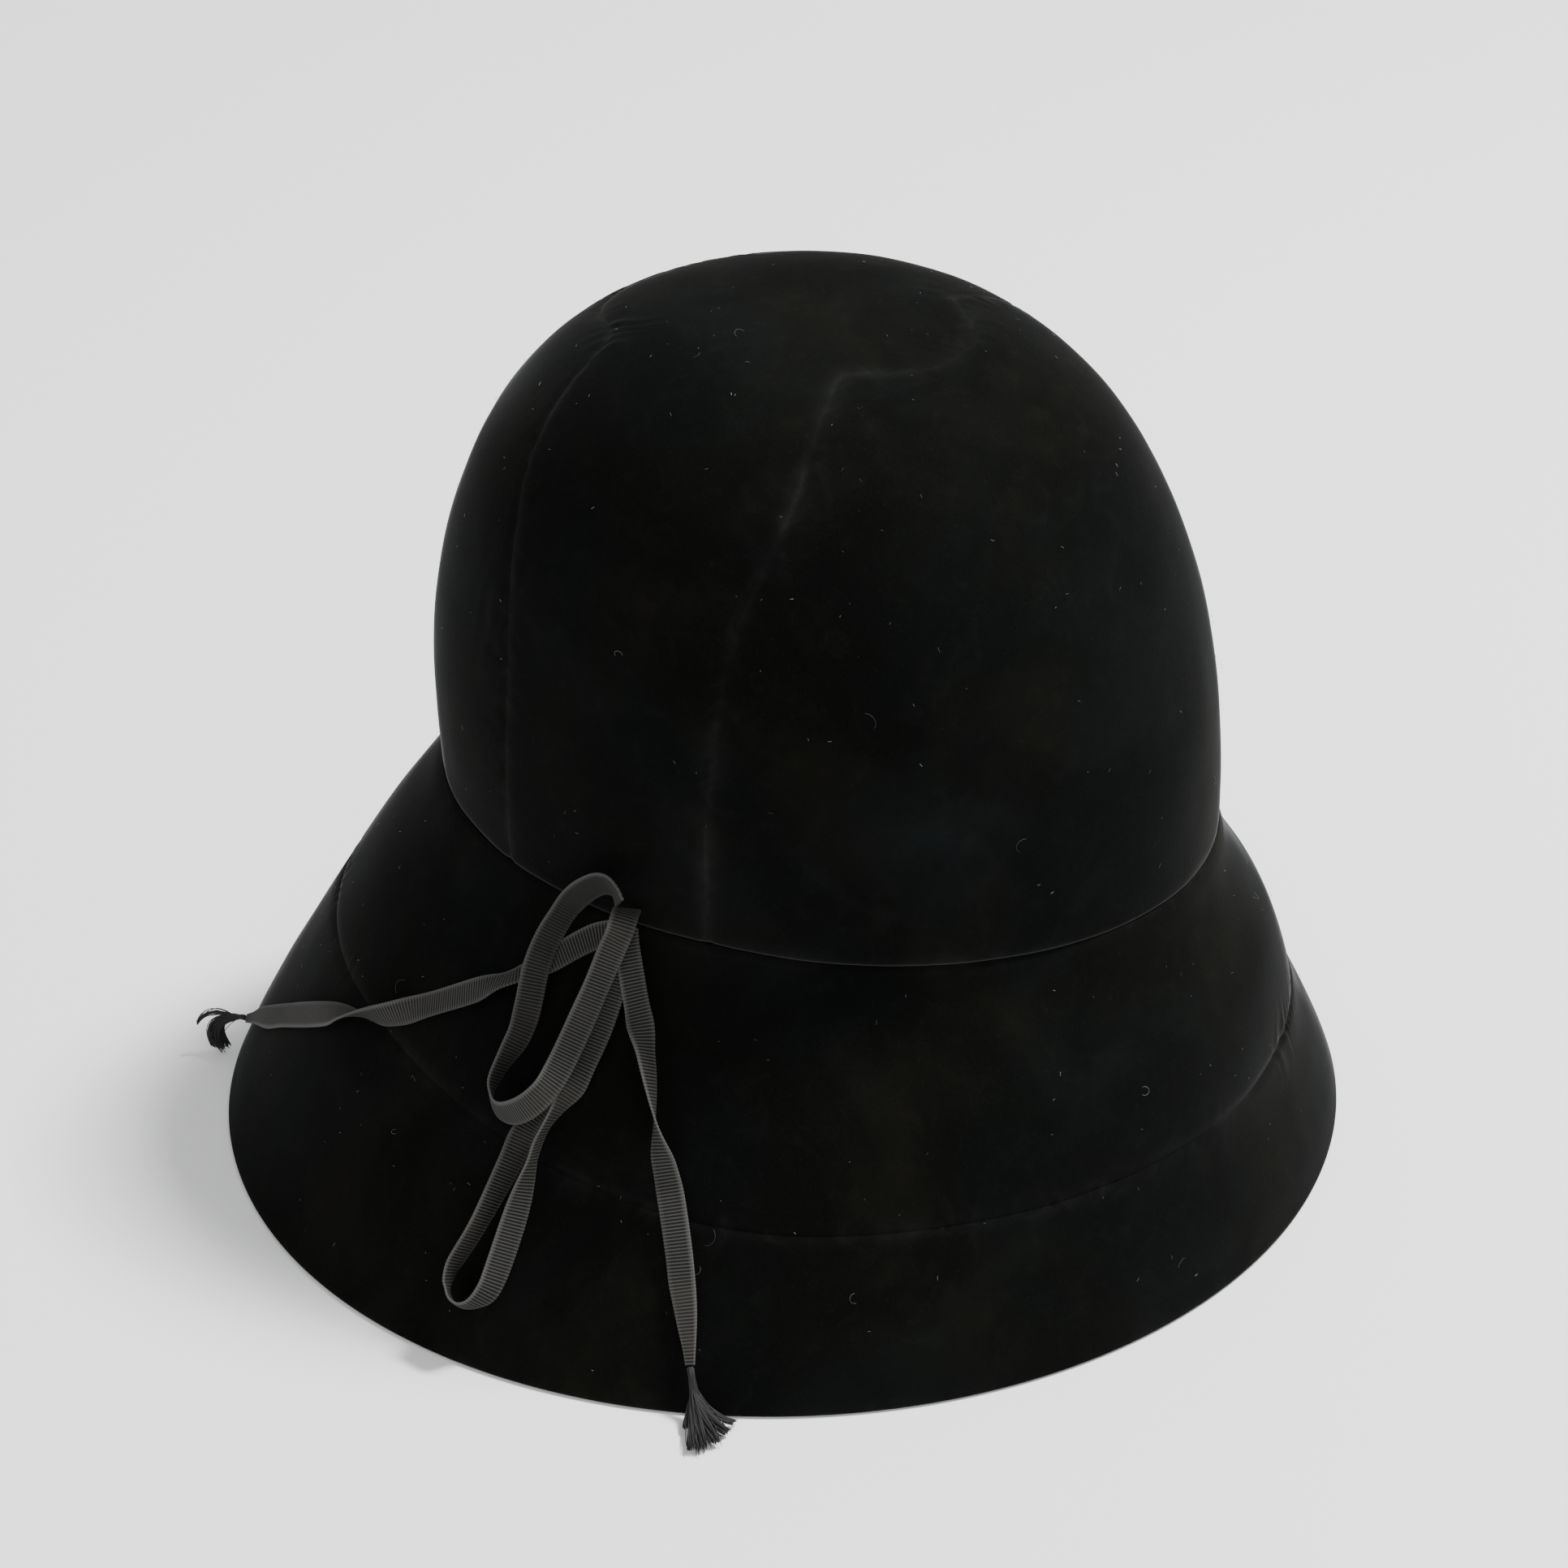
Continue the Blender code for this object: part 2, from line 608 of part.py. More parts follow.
def main():
    for old in list(bpy.data.objects):
        bpy.data.objects.remove(old)
    velvet = make_material("velvet", VELVET, 0.9, 0.5)
    grosgrain = make_material("grosgrain", GROSGRAIN, 0.6, 0.1)
    fringe = make_material("fringe", FRINGE, 0.55, 0.1)
    make_crown(velvet)
    make_brim(velvet)
    make_ribbon("ribbon_large_loop", LARGE_LOOP, grosgrain)
    make_ribbon("ribbon_small_loop", SMALL_LOOP, grosgrain)
    make_ribbon("ribbon_side_tail", SIDE_TAIL, grosgrain)
    make_ribbon("ribbon_front_tail", FRONT_TAIL, grosgrain)
    make_tassel("side_tassel", SIDE_TASSEL_HEAD, SIDE_TASSEL_LOCKS, fringe)
    make_tassel("front_tassel", FRONT_TASSEL_HEAD, FRONT_TASSEL_LOCKS, fringe)


main()
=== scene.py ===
import bpy
import bmesh
import json
import math
import random
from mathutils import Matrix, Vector, kdtree, noise

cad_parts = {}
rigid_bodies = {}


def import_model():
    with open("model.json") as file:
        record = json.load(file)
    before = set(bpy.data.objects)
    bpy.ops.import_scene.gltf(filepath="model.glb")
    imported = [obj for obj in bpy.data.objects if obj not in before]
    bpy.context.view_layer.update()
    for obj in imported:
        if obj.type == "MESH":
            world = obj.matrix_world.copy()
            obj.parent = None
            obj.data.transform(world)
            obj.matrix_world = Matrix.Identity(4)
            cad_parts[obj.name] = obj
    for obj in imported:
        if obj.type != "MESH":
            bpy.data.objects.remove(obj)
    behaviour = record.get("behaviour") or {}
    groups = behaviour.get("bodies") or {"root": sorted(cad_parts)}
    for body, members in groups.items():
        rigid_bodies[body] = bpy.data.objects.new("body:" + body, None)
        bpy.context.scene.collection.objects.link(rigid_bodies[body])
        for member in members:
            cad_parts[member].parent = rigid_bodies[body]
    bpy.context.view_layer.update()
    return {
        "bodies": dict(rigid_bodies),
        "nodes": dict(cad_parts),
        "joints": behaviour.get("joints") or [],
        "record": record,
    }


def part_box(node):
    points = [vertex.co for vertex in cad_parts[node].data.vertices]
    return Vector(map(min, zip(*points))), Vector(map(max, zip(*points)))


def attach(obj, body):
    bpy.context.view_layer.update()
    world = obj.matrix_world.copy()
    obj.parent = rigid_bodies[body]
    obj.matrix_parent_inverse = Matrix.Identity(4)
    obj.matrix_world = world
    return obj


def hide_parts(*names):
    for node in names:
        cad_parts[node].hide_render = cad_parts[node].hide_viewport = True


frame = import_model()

mm = 0.001

# The camera looks down on the bow side and the front
cameraSettings = {
    "azimuth": -58.0,
    "elevation": 30.0,
    "distance": 1.3,
    "aim": (-0.0046, -0.0031, 0.0923),
    "lens": 119.25,
    "sensor": 36.0,
}

# The ribbon's routes, in millimetres: x, y, z, tilt in degrees, share of the full width
largeLoopRoute = [
    (-85.6, -9.8, 99.6, -180, 1.0), (-87.2, -10.7, 100.4, -170, 1.0), (-90.3, -12.0, 100.6, -166, 1.0),
    (-92.5, -12.5, 98.5, -152, 1.0), (-95.5, -11.0, 92.0, -128, 1.0), (-101.0, -9.5, 83.0, -122, 1.0),
    (-106.5, -8.0, 74.5, -149, 1.0), (-113.5, -8.0, 69.0, -149, 1.0), (-119.0, -7.5, 65.5, -116, 1.0),
    (-121.3, -3.6, 61.0, -90, 1.0), (-120.2, 2.5, 56.6, -76, 1.0), (-118.9, 6.9, 55.9, -72, 1.0),
    (-116.7, 9.7, 57.8, -85, 1.0), (-114.0, 10.0, 61.2, -102, 1.0), (-111.0, 8.8, 65.3, -100, 1.0),
    (-107.3, 7.2, 70.3, -62, 1.0), (-102.6, 7.8, 75.6, -20, 1.0), (-97.3, 9.2, 82.2, -22, 1.0),
    (-93.1, 9.2, 87.5, -54, 1.0), (-90.6, 7.9, 91.8, -75, 1.0), (-88.1, 4.8, 98.1, -101, 1.0),
    (-89.1, -0.7, 104.2, -112, 1.0), (-89.9, -5.2, 107.6, -109, 1.0), (-91.0, -8.8, 108.7, -106, 1.0),
    (-92.2, -11.1, 108.2, -98, 1.0), (-93.5, -12.9, 106.3, -86, 1.0),
]
smallLoopRoute = [
    (-87.0, -10.0, 93.5, -165, 1.0), (-91.0, -8.6, 87.0, -167, 1.0), (-97.0, -7.0, 78.0, -170, 1.0),
    (-104.0, -5.6, 69.3, -170, 1.0), (-111.0, -3.5, 60.0, -165, 1.0), (-117.3, -1.0, 52.0, -168, 1.0),
    (-123.0, -0.3, 45.5, -118, 1.0), (-132.8, 3.1, 31.3, -83, 1.0), (-139.4, 6.5, 21.5, -76, 1.0),
    (-141.9, 6.1, 17.6, -103, 1.0), (-143.3, 4.0, 15.5, -127, 1.0), (-143.5, 0.5, 15.2, -138, 1.0),
    (-142.2, -2.8, 17.0, -124, 1.0), (-140.4, -4.6, 19.5, -81, 1.0), (-137.0, -5.2, 24.0, -54, 1.0),
    (-130.0, -5.6, 34.5, -55, 1.0), (-124.5, -6.1, 44.4, -90, 1.0), (-121.3, -6.3, 50.0, -110, 1.0),
    (-119.1, -7.2, 54.5, -124, 1.0), (-114.5, -9.3, 60.4, -99, 1.0), (-108.4, -10.9, 66.5, -8, 1.0),
    (-100.7, -11.5, 74.6, -4, 1.0), (-94.0, -11.6, 84.0, 0, 1.0), (-90.0, -11.3, 91.0, 4, 1.0),
]
sideTailRoute = [
    (-86.5, -7.0, 92.4, -123, 1.0), (-87.2, -2.6, 91.0, -128, 1.0), (-89.4, 3.1, 87.0, -137, 1.0),
    (-92.6, 8.4, 82.7, -152, 1.0), (-96.5, 13.4, 80.0, -175, 1.0), (-98.9, 18.6, 77.0, -175, 1.0),
    (-99.7, 24.7, 73.1, -135, 1.0), (-100.0, 41.0, 63.0, -135, 1.0), (-101.3, 47.6, 59.6, -100, 1.0),
    (-101.6, 54.0, 56.7, -72, 1.0), (-100.2, 62.6, 53.3, -15, 1.0), (-96.4, 72.0, 48.4, 45, 1.0),
    (-91.0, 83.3, 41.5, 66, 1.0), (-84.0, 96.0, 33.2, 53, 1.0), (-79.0, 105.0, 27.0, 55, 1.0),
    (-73.0, 113.5, 21.2, 58, 0.75), (-68.7, 119.5, 16.2, 60, 0.45), (-66.0, 123.5, 13.2, 65, 0.34),
]
frontTailRoute = [
    (-88.0, -11.0, 95.5, -213, 1.0), (-90.3, -12.8, 92.5, -216, 1.0), (-93.8, -16.5, 86.0, -214, 1.0),
    (-97.2, -20.2, 80.5, -211, 1.0), (-101.6, -24.7, 75.1, -147, 1.0), (-106.0, -29.0, 69.7, -128, 1.0),
    (-112.0, -35.0, 59.0, -87, 1.0), (-113.8, -38.5, 51.0, -53, 1.0), (-115.6, -41.1, 45.2, -22, 1.0),
    (-120.0, -46.0, 34.3, -23, 1.0), (-122.5, -48.3, 29.0, -21, 1.0), (-125.2, -51.0, 23.7, -18, 0.85),
    (-127.2, -52.8, 19.8, -17, 0.7), (-129.2, -54.6, 15.9, -14, 0.48), (-131.0, -56.0, 12.3, -11, 0.34),
]


def placeCamera():
    turn = math.radians(cameraSettings["azimuth"])
    tip = math.radians(cameraSettings["elevation"])
    back = Vector((math.sin(turn) * math.cos(tip), -math.cos(turn) * math.cos(tip), math.sin(tip)))
    spot = Vector(cameraSettings["aim"]) + back * cameraSettings["distance"]
    bpy.ops.object.camera_add(location=spot, rotation=back.to_track_quat("Z", "Y").to_euler())
    camera = bpy.context.object
    camera.data.lens = cameraSettings["lens"]
    camera.data.sensor_width = cameraSettings["sensor"]
    bpy.context.scene.camera = camera


placeCamera()
print("camera placed")


# Shader maths: a socket that takes part in ordinary expressions

class Value:
    def __init__(self, paint, socket):
        self.paint = paint
        self.socket = socket

    def combine(self, operation, first, second):
        return self.paint.node("ShaderNodeMath", {"operation": operation}, {0: first, 1: second})

    def __add__(self, other):
        return self.combine("ADD", self, other)

    __radd__ = __add__

    def __sub__(self, other):
        return self.combine("SUBTRACT", self, other)

    def __rsub__(self, other):
        return self.combine("SUBTRACT", other, self)

    def __mul__(self, other):
        return self.combine("MULTIPLY", self, other)

    def __truediv__(self, other):
        return self.combine("DIVIDE", self, other)

    def least(self, other):
        return self.combine("MINIMUM", self, other)

    def smooth(self, low, high):
        # 0 up to the low value and 1 from the high one on
        settings = {"interpolation_type": "SMOOTHSTEP"}
        values = {"Value": self, "From Min": low, "From Max": high}
        return self.paint.node("ShaderNodeMapRange", settings, values)

    def fade(self, width):
        # 1 on a line and 0 a few widths away from it
        spread = self / width
        return self.paint.node("ShaderNodeMath", {"operation": "EXPONENT"}, {0: spread * spread * -1.0})

    def wave(self):
        return self.paint.node("ShaderNodeMath", {"operation": "SINE"}, {0: self})


class Paint:
    def __init__(self, name):
        self.material = bpy.data.materials.new(name)
        self.material.use_nodes = True
        self.tree = self.material.node_tree
        self.shader = self.tree.nodes["Principled BSDF"]

    def node(self, kind, settings=None, values=None, output=0):
        made = self.tree.nodes.new(kind)
        for name, setting in (settings or {}).items():
            setattr(made, name, setting)
        for name, value in (values or {}).items():
            self.feed(made.inputs[name], value)
        return Value(self, made.outputs[output])

    def feed(self, socket, value):
        if isinstance(value, Value):
            self.tree.links.new(value.socket, socket)
        elif isinstance(value, tuple) and len(value) == 3 and socket.type == "RGBA":
            socket.default_value = (*value, 1)
        else:
            socket.default_value = value

    def cloud(self, scale, detail=2.0, rough=0.5, distortion=0.0):
        # soft noise, fixed to the piece
        values = {
            "Vector": self.node("ShaderNodeTexCoord", output="Object"),
            "Scale": scale,
            "Detail": detail,
            "Roughness": rough,
            "Distortion": distortion,
        }
        return self.node("ShaderNodeTexNoise", None, values)

    def attribute(self, name):
        return self.node("ShaderNodeAttribute", {"attribute_name": name}, output="Fac")

    def mix(self, share, first, second):
        # the node has one set of sockets for each kind of value; these are the colours' own
        made = self.tree.nodes.new("ShaderNodeMix")
        made.data_type = "RGBA"
        self.feed(made.inputs[0], share)
        self.feed(made.inputs[6], first)
        self.feed(made.inputs[7], second)
        return Value(self, made.outputs[2])

    def bump(self, height, strength, distance):
        values = {"Height": height, "Strength": strength, "Distance": distance}
        return self.node("ShaderNodeBump", None, values)

    def finish(self, colour, rough, normal=None, **others):
        self.feed(self.shader.inputs["Base Color"], colour)
        self.feed(self.shader.inputs["Roughness"], rough)
        if normal is not None:
            self.feed(self.shader.inputs["Normal"], normal)
        for name, value in others.items():
            self.feed(self.shader.inputs[name], value)
        return self.material


# Velvet: short pile that is crushed and brushed in patches, worn pale along the seams, and painted with a
# pale bluish highlight over the front dent

velvetLook = {
    "deep": (0.0007, 0.0011, 0.0008),
    "raised": (0.0043, 0.0053, 0.0048),
    "raisedWarm": (0.0056, 0.0052, 0.0038),
    "warmScale": 17.0,         # size of the warm and cool patches
    "worn": (0.0130, 0.0135, 0.0126),
    # painted highlight: the pale bluish colour painted over the front dent
    "brushed": (0.0058, 0.0069, 0.0076),
    "sheen": 0.042,
    "sheenTint": (0.80, 0.84, 0.83, 1.0),
    "sheenRoughness": 0.28,
    "rimGloss": 0.45,          # the tips of the pile catch the light where the cloth turns away
    "pileScale": 1500.0,
    "pileHeight": 0.00012,
    "brushedScale": 26.0,
    "crushedScale": 120.0,
    "specksScale": 900.0,
    "brushedShare": 0.40,      # how much each pattern raises the pile
    "crushedShare": 0.24,
    "pileShare": 0.36,
    "specksShare": 0.4,
    "seamLine": 0.75,          # half widths of the paler line and band along a seam, in millimetres
    "seamBand": 2.9,
    "lineWear": 0.36,          # how pale they get in patches, and everywhere
    "lineLeast": 0.07,
    "bandBrushedWear": 0.18,
    "bandCrushedWear": 0.16,
    "bandLeast": 0.06,
    "mostWear": 0.8,
    "patchLeast": 0.35,        # the painted highlight over the front dent, and how much the pile's patterns break it
    "patchBroken": 0.4,
    "bumpStrength": 0.55,
    "specular": 0.048,
}


def velvet():
    look = velvetLook
    paint = Paint("velvet")
    pile = paint.cloud(look["pileScale"], 2.0, 0.6)
    specks = paint.cloud(look["specksScale"], 3.0, 0.7).smooth(0.58, 0.74)
    brushed = paint.cloud(look["brushedScale"], 3.0, 0.55, 0.5)
    crushed = paint.cloud(look["crushedScale"], 4.0, 0.6, 1.0)
    seam = paint.attribute("seamReach")
    patchy = brushed.smooth(0.42, 0.66)
    alongLine = patchy * crushed.smooth(0.3, 0.6) * look["lineWear"] + look["lineLeast"]
    alongBand = patchy * look["bandBrushedWear"] + crushed.smooth(0.42, 0.7) * look["bandCrushedWear"]
    wear = seam.fade(look["seamLine"]) * alongLine
    wear = wear + seam.fade(look["seamBand"]) * (alongBand + look["bandLeast"])
    lay = brushed.smooth(0.36, 0.68) * look["brushedShare"]
    lay = lay + crushed.smooth(0.48, 0.76) * look["crushedShare"]
    lay = lay + pile * look["pileShare"] + specks * look["specksShare"]
    warmth = paint.cloud(look["warmScale"], 3.0, 0.6, 0.6).smooth(0.4, 0.62)
    raised = paint.mix(warmth, look["raised"], look["raisedWarm"])
    colour = paint.mix(lay.least(1.0), look["deep"], raised)
    # painted highlight over the front dent, broken up by the pile's patterns
    broken = (crushed.smooth(0.35, 0.7) + brushed.smooth(0.3, 0.7)) * look["patchBroken"]
    patch = paint.attribute("dentHighlight") * (look["patchLeast"] + broken)
    colour = paint.mix(patch.least(1.0), colour, look["brushed"])
    colour = paint.mix(wear.least(look["mostWear"]), colour, look["worn"])
    nap = paint.bump(pile + specks * look["specksShare"], look["bumpStrength"], look["pileHeight"])
    turned = paint.node("ShaderNodeLayerWeight", None, {"Blend": 0.5}, "Facing").smooth(0.84, 1.0)
    return paint.finish(colour, 0.90 + brushed * 0.1, nap, **{
        "Coat Weight": turned * turned * look["rimGloss"],
        "Coat Roughness": 0.55,
        "Sheen Weight": look["sheen"],
        "Sheen Tint": look["sheenTint"],
        "Sheen Roughness": look["sheenRoughness"],
        "Specular IOR Level": look["specular"],
    })


backingLook = {"colour": (0.010, 0.010, 0.0105), "thread": (0.021, 0.021, 0.022), "pitch": 0.0006}


def backing():
    # the woven back of the cloth, inside the hat
    paint = Paint("cloth_back")
    spot = paint.node("ShaderNodeTexCoord", output="Object")
    turns = 2 * math.pi / backingLook["pitch"]
    across = paint.node("ShaderNodeSeparateXYZ", None, {0: spot}, "X") * turns
    up = paint.node("ShaderNodeSeparateXYZ", None, {0: spot}, "Z") * turns
    weave = across.wave() * up.wave() * 0.5 + 0.5
    mottle = paint.cloud(60.0, 3.0)
    colour = paint.mix(weave * 0.6 + mottle * 0.4, backingLook["colour"], backingLook["thread"])
    return paint.finish(colour, 0.9, paint.bump(weave, 0.4, 0.0002))


ribbonLook = {
    # painted shade: the colour of the valleys between the ribs, also used for the painted shadow on the
    # loop's inner face
    "paintedShade": (0.0075, 0.0074, 0.0071),
    "rib": (0.054, 0.053, 0.049),
    # painted highlight: the pale colour along the ribbon's edges
    "edge": (0.092, 0.090, 0.084),
    "faded": (0.036, 0.032, 0.026),
    "fadedShare": 0.4,
    "edgeHighlightShare": 0.6,
    "threadScale": 5200.0,
    "sheen": 0.03,
    "sheenTint": (0.9, 0.88, 0.84, 1.0),
    "specular": 0.12,
}


def grosgrain():
    look = ribbonLook
    paint = Paint("grosgrain")
    rib = paint.attribute("rib")
    edge = paint.attribute("selvedgeHighlight")
    faded = paint.cloud(60.0, 3.0).smooth(0.48, 0.72)
    thread = paint.cloud(look["threadScale"], 2.0, 0.6)
    # the ribs' tops stay lighter and the valleys between them take painted shade
    ridge = rib.smooth(0.28, 0.95) * (0.72 + thread * 0.5)
    # painted shadow: the inner face of the large loop is painted dark where it turns away from the light,
    # less on its edges
    innerPaintedShadow = paint.attribute("paintedInnerShadow") * (1 - edge * 0.7)
    colour = paint.mix(ridge.least(1.0), look["paintedShade"], look["rib"])
    colour = paint.mix(faded * look["fadedShare"], colour, look["faded"])
    # painted highlight along the edges
    colour = paint.mix(edge * look["edgeHighlightShare"], colour, look["edge"])
    colour = paint.mix(innerPaintedShadow, colour, look["paintedShade"])
    normal = paint.bump(thread + rib * 0.6, 0.35, 0.00009)
    return paint.finish(colour, 0.62 + thread * 0.2, normal, **{
        "Sheen Weight": look["sheen"],
        "Sheen Tint": look["sheenTint"],
        "Sheen Roughness": 0.4,
        "Specular IOR Level": look["specular"],
    })


fringeLook = {"dark": (0.0055, 0.0055, 0.0057), "light": (0.0125, 0.0119, 0.0117)}


def fringeThread():
    paint = Paint("fringe_thread")
    # the strand value holds each thread's random tone and its painted light: darker inside a lock, paler at
    # its outside
    strand = paint.attribute("strand")
    twist = paint.cloud(3800.0, 2.0, 0.6)
    colour = paint.mix((strand * 0.75 + twist * 0.25).least(1.0), fringeLook["dark"], fringeLook["light"])
    return paint.finish(colour, 0.55 + twist * 0.25, paint.bump(twist, 0.4, 0.00006), **{
        "Sheen Weight": 0.06,
        "Specular IOR Level": 0.28,
    })


lintLook = {"dark": (0.03, 0.031, 0.03), "light": (0.17, 0.17, 0.165)}


def lintFibre():
    paint = Paint("lint_fibre")
    shade = paint.cloud(140.0, 1.0).smooth(0.35, 0.7)
    return paint.finish(paint.mix(shade, lintLook["dark"], lintLook["light"]), 0.6)


velvetCloth = velvet()
clothBack = backing()
ribbonCloth = grosgrain()
fringeCloth = fringeThread()
lintCloth = lintFibre()
print("materials made")


# The hat's form: the same sizes as the solids, in metres

seamHeight = (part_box("brim_upper")[1][2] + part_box("crown_centre")[0][2]) / 2
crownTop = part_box("crown_centre")[1][2]

crownForm = {
    "length": 0.2025,
    "width": 0.168,
    "height": crownTop - seamHeight,
    "forward": 0.013,
    "lean": 0.006,
    "swell": 0.015,
    "swellHeight": 0.7,
    "frontFullness": 3.3,
    "backFullness": 2.7,
    "sideFullness": 3.4,
    "topFullness": 2.45,
    "wall": 0.0023,
}
brimForm = {
    "length": 0.2855,
    "width": 0.294,
    "wall": 0.0026,
    "bell": 0.003,
    "backSwell": 0.0034,
    "ringFront": 0.59,
    "ringBack": 0.437,
    "ringStart": 65.0,
    "ringEnd": 130.0,
    "edgeRadius": 0.0012,
}
# share of the way down, front bell, back swell
slopeAbove = [
    (0.0, 0.0, 0.0), (0.2, -0.35, 0.2), (0.4, 0.15, 0.5),
    (0.6, 0.95, 0.75), (0.8, 0.9, 0.9), (1.0, 0.3, 1.0),
]
slopeBelow = [(0.0, 0.3, 1.0), (0.25, 0.05, 1.0), (0.5, 0.2, 0.85), (0.75, 0.3, 0.5), (1.0, 0.0, 0.0)]
# one side of each crown seam seen from above: share of the half width, share of the half length
frontSeam = [
    (0.0, 0.385), (0.1, 0.37), (0.18, 0.33), (0.26, 0.26), (0.31, 0.22), (0.42, 0.24), (0.64, 0.28),
    (0.75, 0.27), (0.9, 0.22), (1.0, 0.20), (1.3, 0.17),
]
backSeam = [
    (0.0, -0.575), (0.1, -0.56), (0.18, -0.52), (0.26, -0.45), (0.3, -0.42), (0.38, -0.41), (0.5, -0.44),
    (0.65, -0.465), (0.8, -0.44), (0.9, -0.41), (1.0, -0.405), (1.3, -0.40),
]
# soft dents: degrees from the front, height share, half width and depth as shares of the crown's
# length, half height as a share of its height
dents = [
    (-42.0, 0.23, 0.13, 0.016, 0.13),
    (-74.0, 0.36, 0.10, 0.006, 0.16),
    (150.0, 0.45, 0.14, 0.008, 0.18),
    (52.0, 0.30, 0.12, 0.007, 0.15),
]


def ease(share):
    share = min(max(share, 0.0), 1.0)
    return share * share * (3 - 2 * share)


def fromTable(rows, place, column):
    place = min(max(place, rows[0][0]), rows[-1][0])
    low = 0
    while low < len(rows) - 2 and place > rows[low + 1][0]:
        low += 1
    start = rows[low]
    end = rows[low + 1]
    before = rows[max(low - 1, 0)]
    after = rows[min(low + 2, len(rows) - 1)]
    width = end[0] - start[0]
    share = (place - start[0]) / width
    slopeIn = (end[column] - before[column]) / (end[0] - before[0]) * width
    slopeOut = (after[column] - start[column]) / (after[0] - start[0]) * width
    square = share * share
    cube = square * share
    bend = slopeIn * (cube - 2 * square + share) + slopeOut * (cube - square)
    return start[column] * (2 * cube - 3 * square + 1) + end[column] * (3 * square - 2 * cube) + bend


def dentDepth(turn, height):
    depth = 0.0
    for degrees, middle, halfWidth, deep, halfHeight in dents:
        around = math.remainder(turn - math.radians(degrees), 2 * math.pi) / 2
        away = math.hypot(around / halfWidth, (height - middle) / halfHeight)
        if away < 1:
            depth += deep * crownForm["length"] * (1 + math.cos(math.pi * away)) / 2
    return depth


def crownPoint(turn, rise):
    sine = math.sin(turn)
    cosine = math.cos(turn)
    up = math.sin(rise * math.pi / 2) ** (2 / crownForm["topFullness"])
    shrink = max(math.cos(rise * math.pi / 2), 0.0)
    swell = 1 + crownForm["swell"] * math.sin(math.pi * min(1.0, up / crownForm["swellHeight"]))
    fullness = crownForm["frontFullness"] if cosine > 0 else crownForm["backFullness"]
    pressed = dentDepth(turn, up)
    halfLength = crownForm["length"] / 2 * shrink ** (2 / fullness) * swell - pressed
    halfWidth = crownForm["width"] / 2 * shrink ** (2 / crownForm["sideFullness"]) * swell - pressed
    return Vector((
        halfWidth * sine,
        crownForm["lean"] * up - crownForm["forward"] - halfLength * cosine,
        seamHeight + crownForm["height"] * up,
    ))


def ringShare(turn):
    degrees = abs(math.degrees(math.remainder(turn, 2 * math.pi)))
    back = ease((degrees - brimForm["ringStart"]) / (brimForm["ringEnd"] - brimForm["ringStart"]))
    return brimForm["ringFront"] + (brimForm["ringBack"] - brimForm["ringFront"]) * back


def brimPoint(turn, down):
    sine = math.sin(turn)
    cosine = math.cos(turn)
    top = Vector((
        crownForm["width"] / 2 * sine,
        -crownForm["forward"] - crownForm["length"] / 2 * cosine,
        seamHeight,
    ))
    spread = math.atan2(-top.x / brimForm["width"], -top.y / brimForm["length"])
    foot = Vector((
        -brimForm["width"] / 2 * math.sin(spread),
        -brimForm["length"] / 2 * math.cos(spread),
        0.0,
    ))
    out = foot - top
    out.z = 0.0
    out.normalize()
    ring = ringShare(turn)
    rows = slopeAbove if down <= ring else slopeBelow
    share = down / ring if down <= ring else (down - ring) / (1 - ring)
    front = (1 + cosine) / 2
    bell = brimForm["bell"] * front * fromTable(rows, share, 1)
    swell = brimForm["backSwell"] * (1 - front) * fromTable(rows, share, 2)
    return top + (foot - top) * down + out * (bell + swell)


def outward(surface, turn, share):
    # the way out of the cloth; the two surfaces run in opposite ways
    step = 0.004
    low = max(share - step, 0.0)
    high = min(share + step, 1.0)
    around = surface(turn + step, share) - surface(turn - step, share)
    along = surface(turn, high) - surface(turn, low)
    normal = around.cross(along)
    normal.normalize()
    return normal if surface is crownPoint else -normal


def seamLine(rows, across):
    # how far back a crown seam lies, in metres, at a place across the hat
    share = fromTable(rows, abs(across) / (crownForm["width"] / 2), 1)
    return crownForm["lean"] / 2 - crownForm["forward"] - share * crownForm["length"] / 2


# Helpers that every piece uses

def deselect():
    if bpy.context.object and bpy.context.object.mode != "OBJECT":
        bpy.ops.object.mode_set(mode="OBJECT")
    bpy.ops.object.select_all(action="DESELECT")


def makeActive(piece):
    deselect()
    piece.select_set(True)
    bpy.context.view_layer.objects.active = piece


def newGrid(name, columns, rows):
    # a flat grid one metre wide, the start of each piece of cloth
    deselect()
    bpy.ops.mesh.primitive_grid_add(x_subdivisions=columns, y_subdivisions=rows, size=1.0)
    piece = bpy.context.object
    piece.name = name
    piece.data.name = name
    return piece


def shapeGrid(piece, surface):
    # put each corner of the grid where the surface has it; both shares run from 0 to 1
    for corner in piece.data.vertices:
        corner.co = surface(corner.co.x + 0.5, corner.co.y + 0.5)
    piece.data.update()


def closeSeams(piece):
    # join the grid where its two sides meet
    sameSpot = 0.00001
    makeActive(piece)
    bpy.ops.object.mode_set(mode="EDIT")
    bpy.ops.mesh.select_all(action="SELECT")
    bpy.ops.mesh.remove_doubles(threshold=sameSpot)
    bpy.ops.mesh.normals_make_consistent(inside=False)
    bpy.ops.object.mode_set(mode="OBJECT")


def finishCloth(piece, materials, slotName, *nodes):
    makeActive(piece)
    piece.data.materials.clear()
    for material in materials:
        piece.data.materials.append(material)
    bpy.ops.object.shade_smooth()
    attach(piece, "root")
    if nodes:
        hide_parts(*nodes)
    piece.select_set(False)


def writeAttribute(piece, name, values):
    layer = piece.data.attributes.new(name, "FLOAT", "POINT")
    for index, value in enumerate(values):
        layer.data[index].value = value


# The crown: three panels that dip into their seams, with puckers where the cloth was eased in

